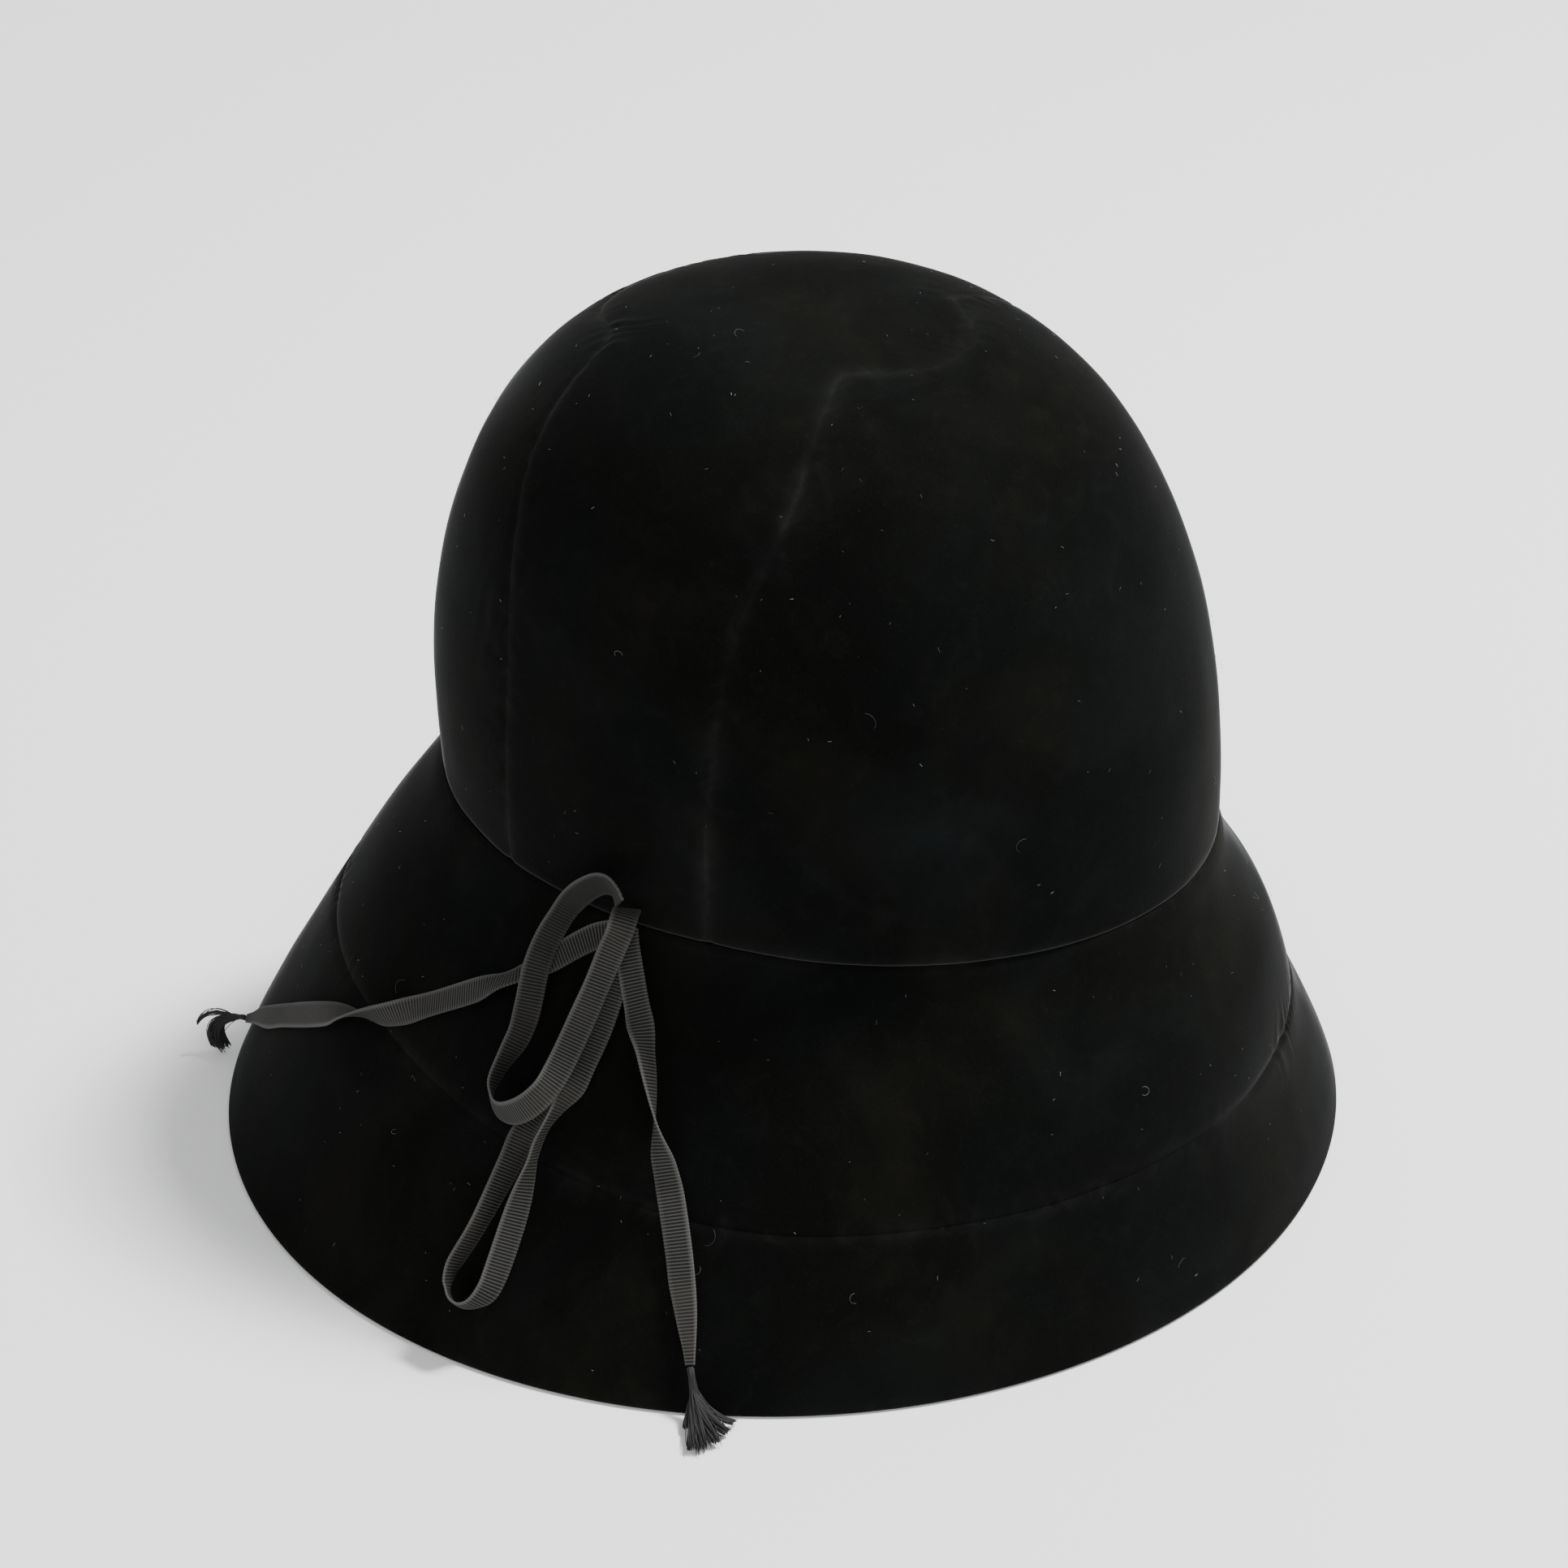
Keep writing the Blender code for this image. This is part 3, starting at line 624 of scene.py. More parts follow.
crownLook = {
    "columns": 380,
    "rows": 120,
    "groove": 0.0005,          # depth of a seam
    "grooveWidth": 0.0023,
    "tuck": 0.0030,            # how far a panel runs on under its neighbour
    "puckerDepth": 0.00022,
    "puckerPitch": 0.0052,
    "puckerReach": 0.0080,
    "cornerPuckers": 0.8,      # how much stronger they are at the corners of the tip
    "cornerAcross": 0.305,     # where a corner lies, as a share of the half width
    "cornerReach": 0.012,
    "sideFrom": 0.42,          # past this share of the width a seam runs down the hat's side
    "wave": 0.0006,            # slow unevenness of the cloth
    "waveSize": 0.042,
    "footTuck": 0.0006,        # the crown turns in where it meets the brim
    "footTuckHeight": 0.0014,
    "brimSeamLift": 0.0004,    # keeps the seam with the brim less worn than the crown's own
}


# a pale bluish painted highlight over the front dent, where the dent catches the light
dentHighlight = {
    "turn": -44.0,             # degrees from the front
    "height": 0.24,            # share of the crown's height
    "halfWidth": 0.19,
    "halfHeight": 0.15,
    "rim": 0.05,
    "rimShare": 0.3,
}


def dentHighlightAt(turn, height):
    # how strongly the painted highlight over the front dent shows at a place; its rim shows at the patch's
    # lower left
    around = math.remainder(turn - math.radians(dentHighlight["turn"]), 2 * math.pi) / 2
    up = (height - dentHighlight["height"]) / dentHighlight["halfHeight"]
    away = math.hypot(around / dentHighlight["halfWidth"], up)
    inside = (1 + math.cos(math.pi * min(away, 1.0))) / 2
    left = -around / dentHighlight["halfWidth"]
    rim = math.exp(-((away - 1) / dentHighlight["rim"]) ** 2) * ease(left * 1.4 - 0.1) * ease(0.9 - up)
    return inside + (rim - inside) * dentHighlight["rimShare"]


def evenRises(count):
    # rises that step evenly up the crown's side, from its foot to its top
    fine = 600
    lengths = [0.0]
    last = crownPoint(math.pi / 4, 0.0)
    for step in range(1, fine + 1):
        here = crownPoint(math.pi / 4, step / fine)
        lengths.append(lengths[-1] + (here - last).length)
        last = here
    rises = []
    place = 0
    for step in range(count + 1):
        wanted = lengths[-1] * step / count
        while place < fine - 1 and lengths[place + 1] < wanted:
            place += 1
        span = lengths[place + 1] - lengths[place]
        rises.append(min(1.0, (place + (wanted - lengths[place]) / span) / fine))
    return rises


crownRises = evenRises(crownLook["rows"])


def seamDistances(place):
    # signed distances to the two seams, seen from above, in metres: positive towards the back
    step = 0.0006
    mostSteep = 6.0
    distances = []
    for rows in (frontSeam, backSeam):
        slope = (seamLine(rows, place.x + step) - seamLine(rows, place.x - step)) / (2 * step)
        straight = place.y - seamLine(rows, place.x)
        distances.append(straight / math.sqrt(1 + min(slope * slope, mostSteep)))
    return distances


def pastEdge(front, back, panel):
    # how far a place lies past the edge of its own panel
    return (front, max(-front, back), -back)[panel]


def crownPiece(panel):
    # panel is 0 for the front, 1 for the centre and 2 for the back
    look = crownLook
    corners = [side * look["cornerAcross"] * crownForm["width"] / 2 for side in (-1, 1)]

    def surface(across, along):
        turn = 2 * math.pi * across
        row = along * look["rows"]
        low = min(int(row), look["rows"] - 1)
        rise = crownRises[low] + (crownRises[low + 1] - crownRises[low]) * (row - low)
        if along > 0.9999:
            rise = 1.0
        place = crownPoint(turn, rise)
        normal = outward(crownPoint, turn, rise) if rise < 1 else Vector((0, 0, 1))
        front, back = seamDistances(place)
        past = pastEdge(front, back, panel)
        nearest = min(abs(front), abs(back))
        dip = ease((past + look["grooveWidth"]) / (look["grooveWidth"] * 1.6)) * look["groove"] * 1.4
        stronger = 1.0
        rows = frontSeam if abs(front) < abs(back) else backSeam
        for aside in corners:
            spot = Vector((aside, seamLine(rows, aside)))
            away = (place.xy - spot).length / look["cornerReach"]
            stronger += look["cornerPuckers"] * math.exp(-away ** 2)
        line = place.z if abs(place.x) > crownForm["width"] * look["sideFrom"] else place.x
        phase = line / look["puckerPitch"] + 1.3 * noise.noise(place * 90)
        ripple = math.sin(2 * math.pi * phase) * (0.4 + noise.noise(place * 35 + Vector((5, panel, 0))))
        ripple *= math.exp(-(nearest / look["puckerReach"]) ** 2) * look["puckerDepth"] * stronger
        wave = noise.noise(place / look["waveSize"]) * look["wave"]
        wave += noise.noise(place / (look["waveSize"] * 0.35) + Vector((0, 0, 9))) * look["wave"] * 0.3
        above = place.z - seamHeight
        fold = math.exp(-(above / look["footTuckHeight"]) ** 2) * look["footTuck"]
        return place + normal * (ripple + wave - dip) - Vector((normal.x, normal.y, 0)) * fold

    return surface


def crownTurn(place):
    # the turn and the height share of a place on the crown, seen from its middle
    turn = math.atan2(place.x / crownForm["width"], -(place.y + crownForm["forward"]) / crownForm["length"])
    return turn, (place.z - seamHeight) / crownForm["height"]


def crownPlain(across, along):
    # the crown without grooves and puckers
    return crownPoint(2 * math.pi * across, crownRises[round(along * crownLook["rows"])])


def cutAway(piece, past, tuck):
    # a panel's grid covers the whole crown; only the panel and its tucks are kept
    makeActive(piece)
    bpy.ops.object.mode_set(mode="EDIT")
    bpy.ops.mesh.select_mode(type="FACE")
    bpy.ops.mesh.select_all(action="DESELECT")
    bpy.ops.object.mode_set(mode="OBJECT")
    for face in piece.data.polygons:
        face.select = min(past[corner] for corner in face.vertices) > tuck
    bpy.ops.object.mode_set(mode="EDIT")
    bpy.ops.mesh.delete(type="FACE")
    bpy.ops.object.mode_set(mode="OBJECT")


def makeCrownPanel(name, panel):
    look = crownLook
    piece = newGrid(name + "_velvet", look["columns"], look["rows"])
    past = []
    reach = []
    for corner in piece.data.vertices:
        place = crownPlain(corner.co.x + 0.5, corner.co.y + 0.5)
        front, back = seamDistances(place)
        past.append(pastEdge(front, back, panel))
        toBrim = abs(place.z - seamHeight) + look["brimSeamLift"]
        reach.append(min(abs(front), abs(back), toBrim) / mm)
    shapeGrid(piece, crownPiece(panel))
    writeAttribute(piece, "seamReach", reach)
    spots = [crownTurn(corner.co) for corner in piece.data.vertices]
    writeAttribute(piece, "dentHighlight", [dentHighlightAt(*spot) for spot in spots])
    cutAway(piece, past, look["tuck"])
    closeSeams(piece)
    wall = piece.modifiers.new("wall", "SOLIDIFY")
    wall.thickness = crownForm["wall"]
    wall.offset = -1
    wall.material_offset = 1
    wall.material_offset_rim = 1
    bpy.ops.object.modifier_apply(modifier="wall")
    finishCloth(piece, [velvetCloth, clothBack], "velvet", name)


for panel, name in enumerate(("crown_front", "crown_centre", "crown_back")):
    makeCrownPanel(name, panel)
print("crown panels made")


# The brim: two ring walls that meet in the stitched ring

brimLook = {
    "columns": 620,
    "rows": 34,
    "insideRows": 8,
    "edgeRows": 8,
    "ringGroove": 0.0008,
    "ringWidth": 0.0021,
    "ringTuck": 0.0024,
    "slant": 0.105,            # the brim's slope from seam to edge, to turn a length into a share
    "puckerDepth": 0.00030,
    "puckerPitch": 0.0050,
    "puckerReach": 0.0060,
    "wave": 0.0007,
    "waveSize": 0.05,
    "headDip": 0.0006,         # the brim dips where the crown sits in it
    "headWidth": 0.0022,
    "around": 0.13,            # the ring's mean radius
    "plainEdge": 0.012,        # how far from its edge the brim stays smooth
    "ringSamples": 720,
    "headSeamLift": 0.0006,    # keep the seam with the crown and the edge less worn than the ring
    "edgeLift": 0.0012,
}


def brimSkin(turn, down, past):
    # a place on the brim's velvet; past is how far beyond its own side of the ring it is
    look = brimLook
    place = brimPoint(turn, down)
    normal = outward(brimPoint, turn, down)
    slant = seamHeight / max(0.5, math.sqrt(1 - normal.z * normal.z))
    toRing = abs(down - ringShare(turn)) * slant
    toHead = down * slant
    toEdge = (1 - down) * slant
    dip = ease((past + look["ringWidth"]) / (look["ringWidth"] * 1.7)) * look["ringGroove"] * 1.4
    dip += math.exp(-(toHead / look["headWidth"]) ** 2) * look["headDip"]
    uneven = 0.12 + 1.5 * noise.noise(Vector((math.sin(turn), math.cos(turn), 0.2)) * 4.3)
    phase = turn * look["around"] / look["puckerPitch"] + 2.4 * noise.noise(place * 60)
    ripple = math.sin(2 * math.pi * phase) * max(uneven, 0.04)
    ripple *= math.exp(-(toRing / look["puckerReach"]) ** 2) * look["puckerDepth"]
    wave = noise.noise(place / look["waveSize"] + Vector((3, 0, 0))) * look["wave"]
    wave += noise.noise(place / (look["waveSize"] * 0.3)) * look["wave"] * 0.25
    wave *= ease(toEdge / look["plainEdge"])
    return place + normal * (ripple + wave - dip), normal


def brimReach(piece):
    # each corner's distance to the nearest seam or edge of the brim, in millimetres
    look = brimLook
    samples = look["ringSamples"]
    tree = kdtree.KDTree(samples)
    for step in range(samples):
        turn = 2 * math.pi * step / samples
        tree.insert(brimPoint(turn, ringShare(turn)), step)
    tree.balance()
    reach = []
    for corner in piece.data.vertices:
        toRing = tree.find(corner.co)[2]
        toHead = abs(seamHeight - corner.co.z) * 1.15 + look["headSeamLift"]
        reach.append(min(toRing, toHead, corner.co.z + look["edgeLift"]) / mm)
    return reach


def makeBrim(name, lower):
    look = brimLook
    form = brimForm
    total = look["rows"] + look["edgeRows"] + look["insideRows"]
    piece = newGrid(name + "_velvet", look["columns"], total + 1)
    radius = form["edgeRadius"] if lower else form["wall"] / 2

    def surface(across, along):
        # the velvet outside, then round the edge, then the inside back to the start
        turn = 2 * math.pi * across
        ring = ringShare(turn)
        row = round(along * (total + 1)) % (total + 1)
        if lower:
            start = ring - look["ringTuck"] / look["slant"]
            tilt = outward(brimPoint, turn, 1.0).z
            end = 1 - radius * (1 + tilt) / seamHeight
        else:
            start = 0.0
            end = ring + look["ringTuck"] / look["slant"]
        if row <= look["rows"]:
            down = start + (end - start) * row / look["rows"]
            past = (ring - down if lower else down - ring) * look["slant"]
            return brimSkin(turn, down, past)[0]
        if row <= look["rows"] + look["edgeRows"]:
            place, normal = brimSkin(turn, end, (ring - end if lower else end - ring) * look["slant"])
            towards = (brimPoint(turn, end) - brimPoint(turn, end - 0.02)).normalized()
            angle = math.pi * (row - look["rows"]) / look["edgeRows"]
            return place - normal * radius + (normal * math.cos(angle) + towards * math.sin(angle)) * radius
        share = (row - look["rows"] - look["edgeRows"]) / look["insideRows"]
        down = end + (start - end) * share
        place, normal = brimSkin(turn, down, -1.0)
        thick = 2 * radius + (form["wall"] - 2 * radius) * ease(share * 3)
        return place - normal * thick

    shapeGrid(piece, surface)
    closeSeams(piece)
    writeAttribute(piece, "seamReach", brimReach(piece))
    finishCloth(piece, [velvetCloth], "velvet", name)


makeBrim("brim_upper", False)
makeBrim("brim_lower", True)
print("brim made")


# The ribbon: a ribbed band with thicker edges along each route

ribbonSizes = {
    "width": 0.007,
    "thickness": 0.00042,
    "ribPitch": 0.00082,
    "ribHeight": 0.00011,
    "edgeWidth": 0.0005,
    "farEdgeHighlight": 0.35,           # painted highlight: how pale the far edge is painted, beside the near one that gets the full painted highlight
    "stepsPerRib": 4,
    "around": 22,
    "flatness": 0.55,          # a low power gives a flat face and tight edges
    "evenness": 0.35,
    "ribReach": 0.00006,       # how far the ribs stand out past the edges
    "stepsPerPoint": 6,        # how closely the cord's path is stated
}


def smoothRoute(rows, spacing):
    table = [Vector(row) for row in rows]
    route = []
    for index in range(len(table) - 1):
        before = table[max(index - 1, 0)]
        start = table[index]
        end = table[index + 1]
        after = table[min(index + 2, len(table) - 1)]
        steps = max(1, round((end.xyz - start.xyz).length / spacing))
        for step in range(steps):
            share = step / steps
            straight = start * 2 + (end - before) * share
            bend = (before * 2 - start * 5 + end * 4 - after) * share ** 2
            twist = (start * 3 + after - before - end * 3) * share ** 3
            route.append((straight + bend + twist) / 2)
    route.append(table[-1])
    return route


def evenRoute(rows, count):
    # the same curve without sharp bends and with even steps; also its length in metres
    rough = smoothRoute(rows, 0.5)
    fine = []
    for index in range(len(rough)):
        reach = min(5, index, len(rough) - 1 - index)
        near = rough[index - reach:index + reach + 1]
        fine.append(sum(near[1:], near[0]) / len(near))
    lengths = [0.0]
    for before, after in zip(fine, fine[1:]):
        lengths.append(lengths[-1] + (after.xyz - before.xyz).length)
    route = []
    place = 0
    for step in range(count + 1):
        wanted = lengths[-1] * step / count
        while place < len(fine) - 2 and lengths[place + 1] < wanted:
            place += 1
        span = lengths[place + 1] - lengths[place]
        route.append(fine[place].lerp(fine[place + 1], min(1.0, (wanted - lengths[place]) / span)))
    return route, lengths[-1] * mm


def ribbonFrames(route):
    # at each step: the middle, the way across, the way out of the face, and the share of the width
    frames = []
    last = len(route) - 1
    for index, row in enumerate(route):
        ahead = route[min(index + 3, last)]
        behind = route[max(index - 3, 0)]
        along = (Vector(ahead[:3]) - Vector(behind[:3])).normalized()
        level = along.cross(Vector((0, 0, 1))).normalized()
        steep = level.cross(along)
        tilt = math.radians(row[3])
        side = level * math.cos(tilt) + steep * math.sin(tilt)
        frames.append((Vector(row[:3]) * mm, side, side.cross(along), row[4]))
    return frames


def capEnds(piece):
    makeActive(piece)
    bpy.ops.object.mode_set(mode="EDIT")
    bpy.ops.mesh.select_mode(type="EDGE")
    bpy.ops.mesh.select_all(action="DESELECT")
    bpy.ops.mesh.select_non_manifold()
    bpy.ops.mesh.fill()
    bpy.ops.mesh.select_all(action="SELECT")
    bpy.ops.mesh.normals_make_consistent(inside=False)
    bpy.ops.object.mode_set(mode="OBJECT")


def ribbonCorner(frame, index, turnShare):
    # a corner of the ribbon's section, how far up a rib it is, and how much painted highlight its edge gets
    sizes = ribbonSizes
    centre, side, face, width = frame
    across = math.cos(2 * math.pi * turnShare)
    lift = math.sin(2 * math.pi * turnShare)
    flatAcross = math.copysign(abs(across) ** sizes["flatness"], across)
    half = sizes["width"] / 2 - sizes["thickness"] / 2
    edgeStart = sizes["width"] / 2 - sizes["edgeWidth"] * 2
    rib = 0.5 - 0.5 * math.cos(2 * math.pi * index / sizes["stepsPerRib"])
    edge = ease((abs(flatAcross) * sizes["width"] / 2 - edgeStart) / sizes["edgeWidth"])
    wide = half * width * flatAcross + math.copysign(sizes["ribReach"] * rib, across)
    thick = sizes["thickness"] / 2 * min(1.0, abs(lift) ** sizes["evenness"] + 0.25 * edge)
    thick += sizes["ribHeight"] * rib * (1 - 0.5 * edge)
    if abs(lift) < 0.001:
        thick = 0.0
    # painted highlight along the edges: full on the near edge, weaker on the far one
    pale = edge * (1.0 if across < 0 else sizes["farEdgeHighlight"])
    return centre + side * wide + face * math.copysign(thick, lift), rib, pale


def makeRibbon(node, rows, paintedInnerShadow=()):
    sizes = ribbonSizes
    length = evenRoute(rows, 10)[1]
    ribs = round(length / sizes["ribPitch"])
    count = ribs * sizes["stepsPerRib"]
    frames = ribbonFrames(evenRoute(rows, count)[0])
    # the painted shadow at each step along the ribbon, from the given table
    paintedShadows = [fromTable(paintedInnerShadow, index / count, 1) if paintedInnerShadow else 0.0 for index in range(count + 1)]
    piece = newGrid(node + "_grosgrain", count, sizes["around"])
    ribValues = []
    edgeHighlights = []
    paintedShadowValues = []
    for corner in piece.data.vertices:
        index = round((corner.co.x + 0.5) * count)
        corner.co, rib, pale = ribbonCorner(frames[index], index, corner.co.y + 0.5)
        ribValues.append(rib)
        edgeHighlights.append(pale)
        paintedShadowValues.append(paintedShadows[index])
    piece.data.update()
    writeAttribute(piece, "rib", ribValues)
    writeAttribute(piece, "selvedgeHighlight", edgeHighlights)
    writeAttribute(piece, "paintedInnerShadow", paintedShadowValues)
    closeSeams(piece)
    capEnds(piece)
    finishCloth(piece, [ribbonCloth], "grosgrain", node)
    path = [frames[index][0] for index in range(0, count + 1, sizes["stepsPerPoint"])]
    if count % sizes["stepsPerPoint"] != 0:
        path.append(frames[count][0])
    print(f"{node}: {length * 1000:.0f} mm, {ribs} ribs")


# The tassels: each tail is gathered and frayed into loose threads

tasselLook = {
    "threads": 30,             # in each lock
    "threadRadius": 0.00021,
    "lockRoot": 0.0009,        # half width of a lock at the head and at its blunt end
    "lockEnd": 0.0014,
    "twist": 2.1,              # how far a lock turns about itself, in radians
    "steps": 10,
    "sides": 5,
    "strays": 6,               # looser threads round each lock
    "straySpread": 1.25,
    "strayWander": 0.0006,
    "strayThinness": 0.55,
    "floorGap": 1.2,           # threads stay this many radii above the floor
}

# the head's path, then each lock's bend, end and width share, in millimetres
sideTassel = {
    "head": [(-65.6, 124.0, 12.9), (-65.5, 126.2, 12.5), (-65.7, 128.4, 12.0)],
    "locks": [
        ((-66.6, 136.2, 13.2), (-70.2, 136.8, 9.4), 0.45),
        ((-68.6, 137.2, 9.6), (-67.4, 133.4, 1.7), 0.95),
        ((-67.9, 136.0, 9.4), (-66.4, 132.3, 1.8), 1.2),
        ((-68.8, 135.4, 8.8), (-67.4, 131.3, 1.7), 1.0),
        ((-67.2, 134.8, 9.4), (-65.4, 130.8, 1.7), 1.0),
    ],
}
frontTassel = {
    "head": [(-131.3, -56.3, 11.7), (-132.7, -57.8, 8.8), (-133.9, -59.2, 6.2)],
    "locks": [
        ((-137.0, -59.2, 3.4), (-140.4, -60.8, 1.6), 0.75),
        ((-138.4, -61.8, 3.2), (-146.4, -66.2, 1.7), 1.1),
        ((-138.2, -62.8, 3.2), (-145.0, -68.2, 1.7), 1.1),
        ((-137.6, -64.0, 3.2), (-141.6, -69.8, 1.7), 1.1),
        ((-136.6, -64.6, 3.2), (-136.6, -69.9, 1.6), 1.0),
        ((-135.4, -64.4, 3.4), (-132.2, -69.2, 1.5), 0.7),
    ],
}


def threadMesh(shape, layer, centres, radii, sides, shade):
    # one closed thread along the centres, with as many sides as asked for
    rings = []
    for index, centre in enumerate(centres):
        ahead = centres[min(index + 1, len(centres) - 1)]
        behind = centres[max(index - 1, 0)]
        along = (ahead - behind).normalized()
        level = along.cross(Vector((0.13, 0.27, 1.0))).normalized()
        steep = level.cross(along)
        ring = []
        for side in range(sides):
            angle = 2 * math.pi * side / sides
            out = level * math.cos(angle) + steep * math.sin(angle)
            corner = shape.verts.new(centre + out * radii[index])
            corner[layer] = shade
            ring.append(corner)
        rings.append(ring)
    for here, after in zip(rings, rings[1:]):
        for side in range(sides):
            beside = (side + 1) % sides
            shape.faces.new((here[side], here[beside], after[beside], after[side]))
    shape.faces.new(reversed(rings[0]))
    shape.faces.new(rings[-1])


def anyWay(chance):
    return Vector((chance.gauss(0, 1), chance.gauss(0, 1), chance.gauss(0, 1)))


def finishThreads(shape, name, material, *nodes):
    bmesh.ops.recalc_face_normals(shape, faces=shape.faces)
    mesh = bpy.data.meshes.new(name)
    shape.to_mesh(mesh)
    shape.free()
    piece = bpy.data.objects.new(name, mesh)
    bpy.context.scene.collection.objects.link(piece)
    finishCloth(piece, [material], "fringe", *nodes)
    return piece


def lockPath(head, lock, spread, angle, stop, wander):
    # one thread from the gathered head through the lock's bend to its blunt end
    look = tasselLook
    bend, end, width = lock
    bend = Vector(bend) * mm
    end = Vector(end) * mm
    root = head[1].lerp(head[2], 0.5)
    level = (end - root).normalized().cross(Vector((0.1, 0.2, 1.0))).normalized()
    steep = level.cross((end - root).normalized())
    away = (level * math.cos(angle) + steep * math.sin(angle)) * look["lockRoot"] * 0.7 * spread
    centres = [head[0] + away, head[0].lerp(head[1], 0.6) + away * 0.9]
    for step in range(look["steps"] + 1):
        share = stop * step / look["steps"]
        spot = root.lerp(bend, share).lerp(bend.lerp(end, share), share)
        half = look["lockRoot"] + (look["lockEnd"] - look["lockRoot"]) * share
        half = half * width - look["threadRadius"]
        turn = angle + look["twist"] * share
        spot = spot + (level * math.cos(turn) + steep * math.sin(turn)) * half * spread
        spot = spot + wander * math.sin(math.pi * share)
        spot.z = max(spot.z, look["threadRadius"] * look["floorGap"])
        centres.append(spot)
    return centres


def makeTassel(node, plan, seed):
    look = tasselLook
    chance = random.Random(seed)
    head = [Vector(point) * mm for point in plan["head"]]
    shape = bmesh.new()
    layer = shape.verts.layers.float.new("strand")
    # each lock is a twisted bundle of threads that leaves the gathered head and ends bluntly
    for lock in plan["locks"]:
        shade = chance.uniform(0.15, 0.5)
        for number in range(look["threads"] + look["strays"]):
            stray = number >= look["threads"]
            spread = look["straySpread"] if stray else math.sqrt(chance.random())
            angle = chance.uniform(0, 2 * math.pi)
            stop = chance.uniform(0.86, 1.06) if stray else chance.uniform(0.93, 1.0)
            wander = anyWay(chance) * look["strayWander"] * stray
            centres = lockPath(head, lock, spread, angle, stop, wander)
            radius = look["threadRadius"] * chance.uniform(0.8, 1.2)
            if stray:
                radius *= look["strayThinness"]
            radii = [radius] * (len(centres) - 1) + [radius * 0.6]
            # painted shade and highlight: threads inside a lock are painted darker and those at its outside
            # paler, as if they catch the light; each lock also has its own random tone
            pale = min(1.0, shade + 0.55 * spread ** 3 * chance.uniform(0.4, 1.0))
            threadMesh(shape, layer, centres, radii, look["sides"], pale)
    return finishThreads(shape, node + "_threads", fringeCloth, node)


sideThreads = makeTassel("side_tassel", sideTassel, 11)
frontThreads = makeTassel("front_tassel", frontTassel, 7)
# share along the loop and how much the ribbon is darkened there by painted shadow, on the loop's inner
# face, which is turned away from the light
loopPaintedShadow = [(0.0, 0.0), (0.42, 0.0), (0.52, 0.3), (0.7, 0.35), (0.82, 0.7), (0.9, 0.93), (1.0, 0.9)]
makeRibbon("ribbon_large_loop", largeLoopRoute, loopPaintedShadow)
makeRibbon("ribbon_small_loop", smallLoopRoute)
makeRibbon("ribbon_side_tail", sideTailRoute)
makeRibbon("ribbon_front_tail", frontTailRoute)
print("ribbon and tassels made")


# Lint: short fibres and a few curled hairs that lie on the velvet

lintSettings = {
    "specks": 380,
    "curls": 34,
    "speckLength": (0.0002, 0.0009),
    "curlLength": (0.002, 0.0055),
    "speckSteps": 4,
    "curlSteps": 12,
    "radius": 0.00004,
    "lift": 0.00055,
    "curlLift": 0.0007,        # how far the middle of a curl stands off the velvet
    "seed": 23,
}


def hatSkin(turn, height):
    # a place and its normal on the velvet; height runs from 0 at the edge to 2 on top
    if height < 1:
        down = 1 - height
        return brimSkin(turn, down, -1.0)
    rise = height - 1
    return crownPoint(turn, rise), outward(crownPoint, turn, min(rise, 0.999))


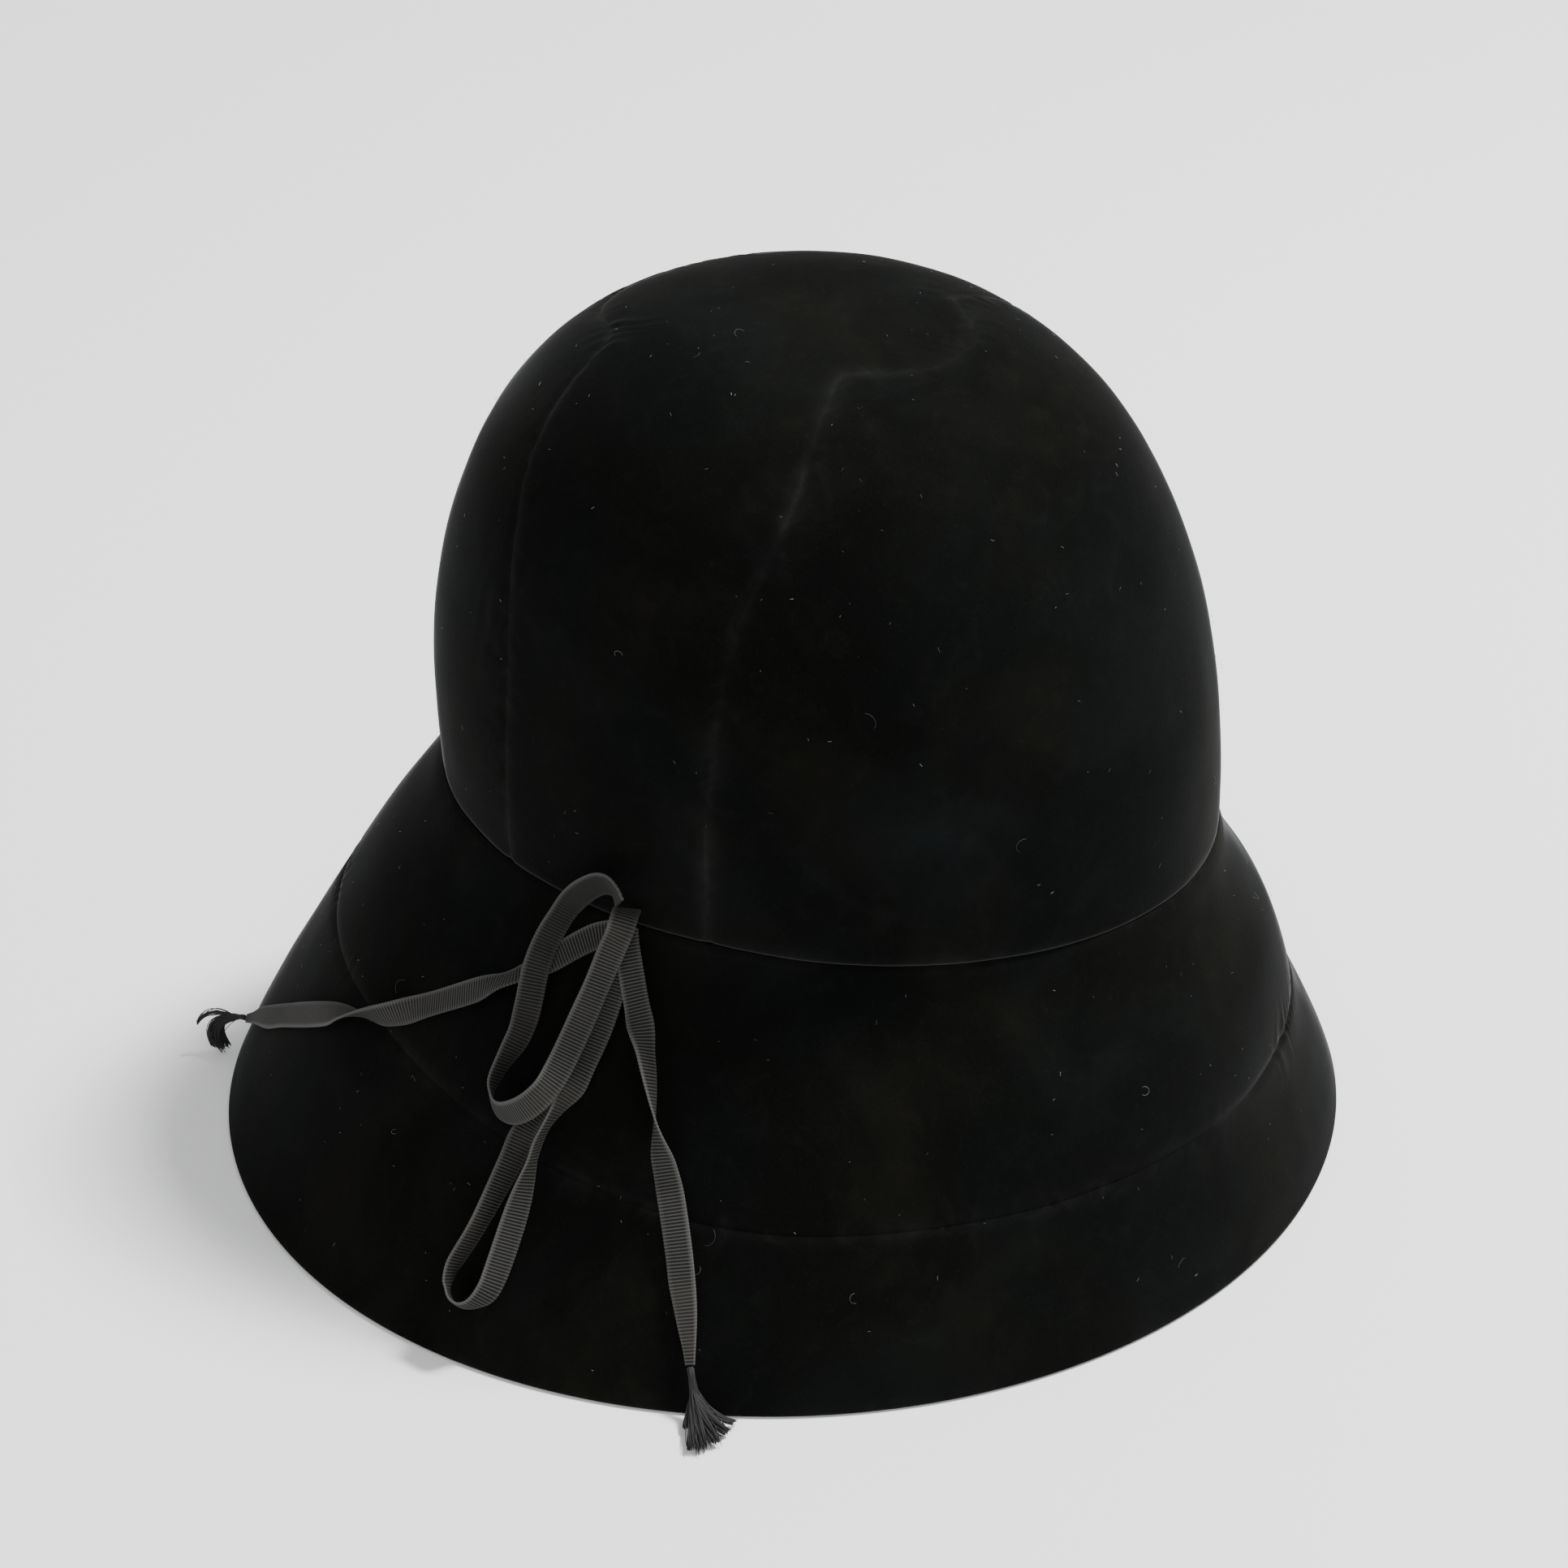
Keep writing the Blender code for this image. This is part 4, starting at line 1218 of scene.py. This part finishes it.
def makeLint():
    settings = lintSettings
    chance = random.Random(settings["seed"])
    shape = bmesh.new()
    layer = shape.verts.layers.float.new("strand")
    for number in range(settings["specks"] + settings["curls"]):
        curl = number >= settings["specks"]
        turn = chance.uniform(-math.pi, math.pi)
        height = chance.choice((chance.uniform(0.06, 0.94), 1 + chance.uniform(0.05, 0.95) ** 1.3))
        centre, normal = hatSkin(turn, height)
        side = normal.cross(anyWay(chance)).normalized()
        other = normal.cross(side)
        low, high = settings["curlLength"] if curl else settings["speckLength"]
        length = chance.uniform(low, high)
        sweep = chance.uniform(2.2, 4.6) if curl else chance.uniform(0.2, 1.4)
        radius = length / sweep
        steps = settings["curlSteps"] if curl else settings["speckSteps"]
        points = []
        for step in range(steps + 1):
            angle = sweep * step / steps
            lift = settings["lift"]
            if curl:
                lift += settings["curlLift"] * math.sin(math.pi * step / steps)
            reach = radius * (1 + 0.25 * step / steps)
            spot = side * (math.cos(angle) - 1) * reach + other * math.sin(angle) * reach
            points.append(centre + spot + normal * lift)
        thin = settings["radius"] * (0.75 if curl else chance.uniform(0.6, 1.5))
        threadMesh(shape, layer, points, [thin] * len(points), 4, chance.random())
    finishThreads(shape, "lint", lintCloth)


makeLint()
print("lint made")


# The floor and the studio light

stageSettings = {
    "floorColour": (0.95, 0.95, 0.95),
    "floorGrain": 0.985,       # how much darker the paper's grain is
    "floorSize": 30.0,
    "sky": (0.92, 0.93, 0.94),
    "skyStrength": 0.70,
}
# name, place, aim, size, watts
lamps = [
    ("key", (0.72, -0.66, 1.98), (0.0, 0.0, 0.08), 0.36, 96.0),
    ("fill", (-1.6, -1.2, 1.6), (0.0, 0.0, 0.1), 1.6, 18.5),
]


def makeFloor():
    deselect()
    bpy.ops.mesh.primitive_plane_add(size=stageSettings["floorSize"], location=(0, 0, 0))
    floor = bpy.context.object
    floor.name = "floor"
    paint = Paint("floor_paper")
    grain = paint.cloud(400.0, 2.0)
    low = tuple(part * stageSettings["floorGrain"] for part in stageSettings["floorColour"])
    floor.data.materials.append(paint.finish(paint.mix(grain, low, stageSettings["floorColour"]), 0.75))


def makeLights():
    for name, spot, aim, size, watts in lamps:
        towards = Vector(spot) - Vector(aim)
        facing = towards.to_track_quat("Z", "Y").to_euler()
        bpy.ops.object.light_add(type="AREA", location=spot, rotation=facing)
        lamp = bpy.context.object
        lamp.name = name + "_light"
        lamp.data.size = size
        lamp.data.energy = watts
    world = bpy.data.worlds.new("studio")
    world.use_nodes = True
    sky = world.node_tree.nodes["Background"]
    sky.inputs["Color"].default_value = (*stageSettings["sky"], 1)
    sky.inputs["Strength"].default_value = stageSettings["skyStrength"]
    bpy.context.scene.world = world


makeFloor()
makeLights()
print("floor and lights made")
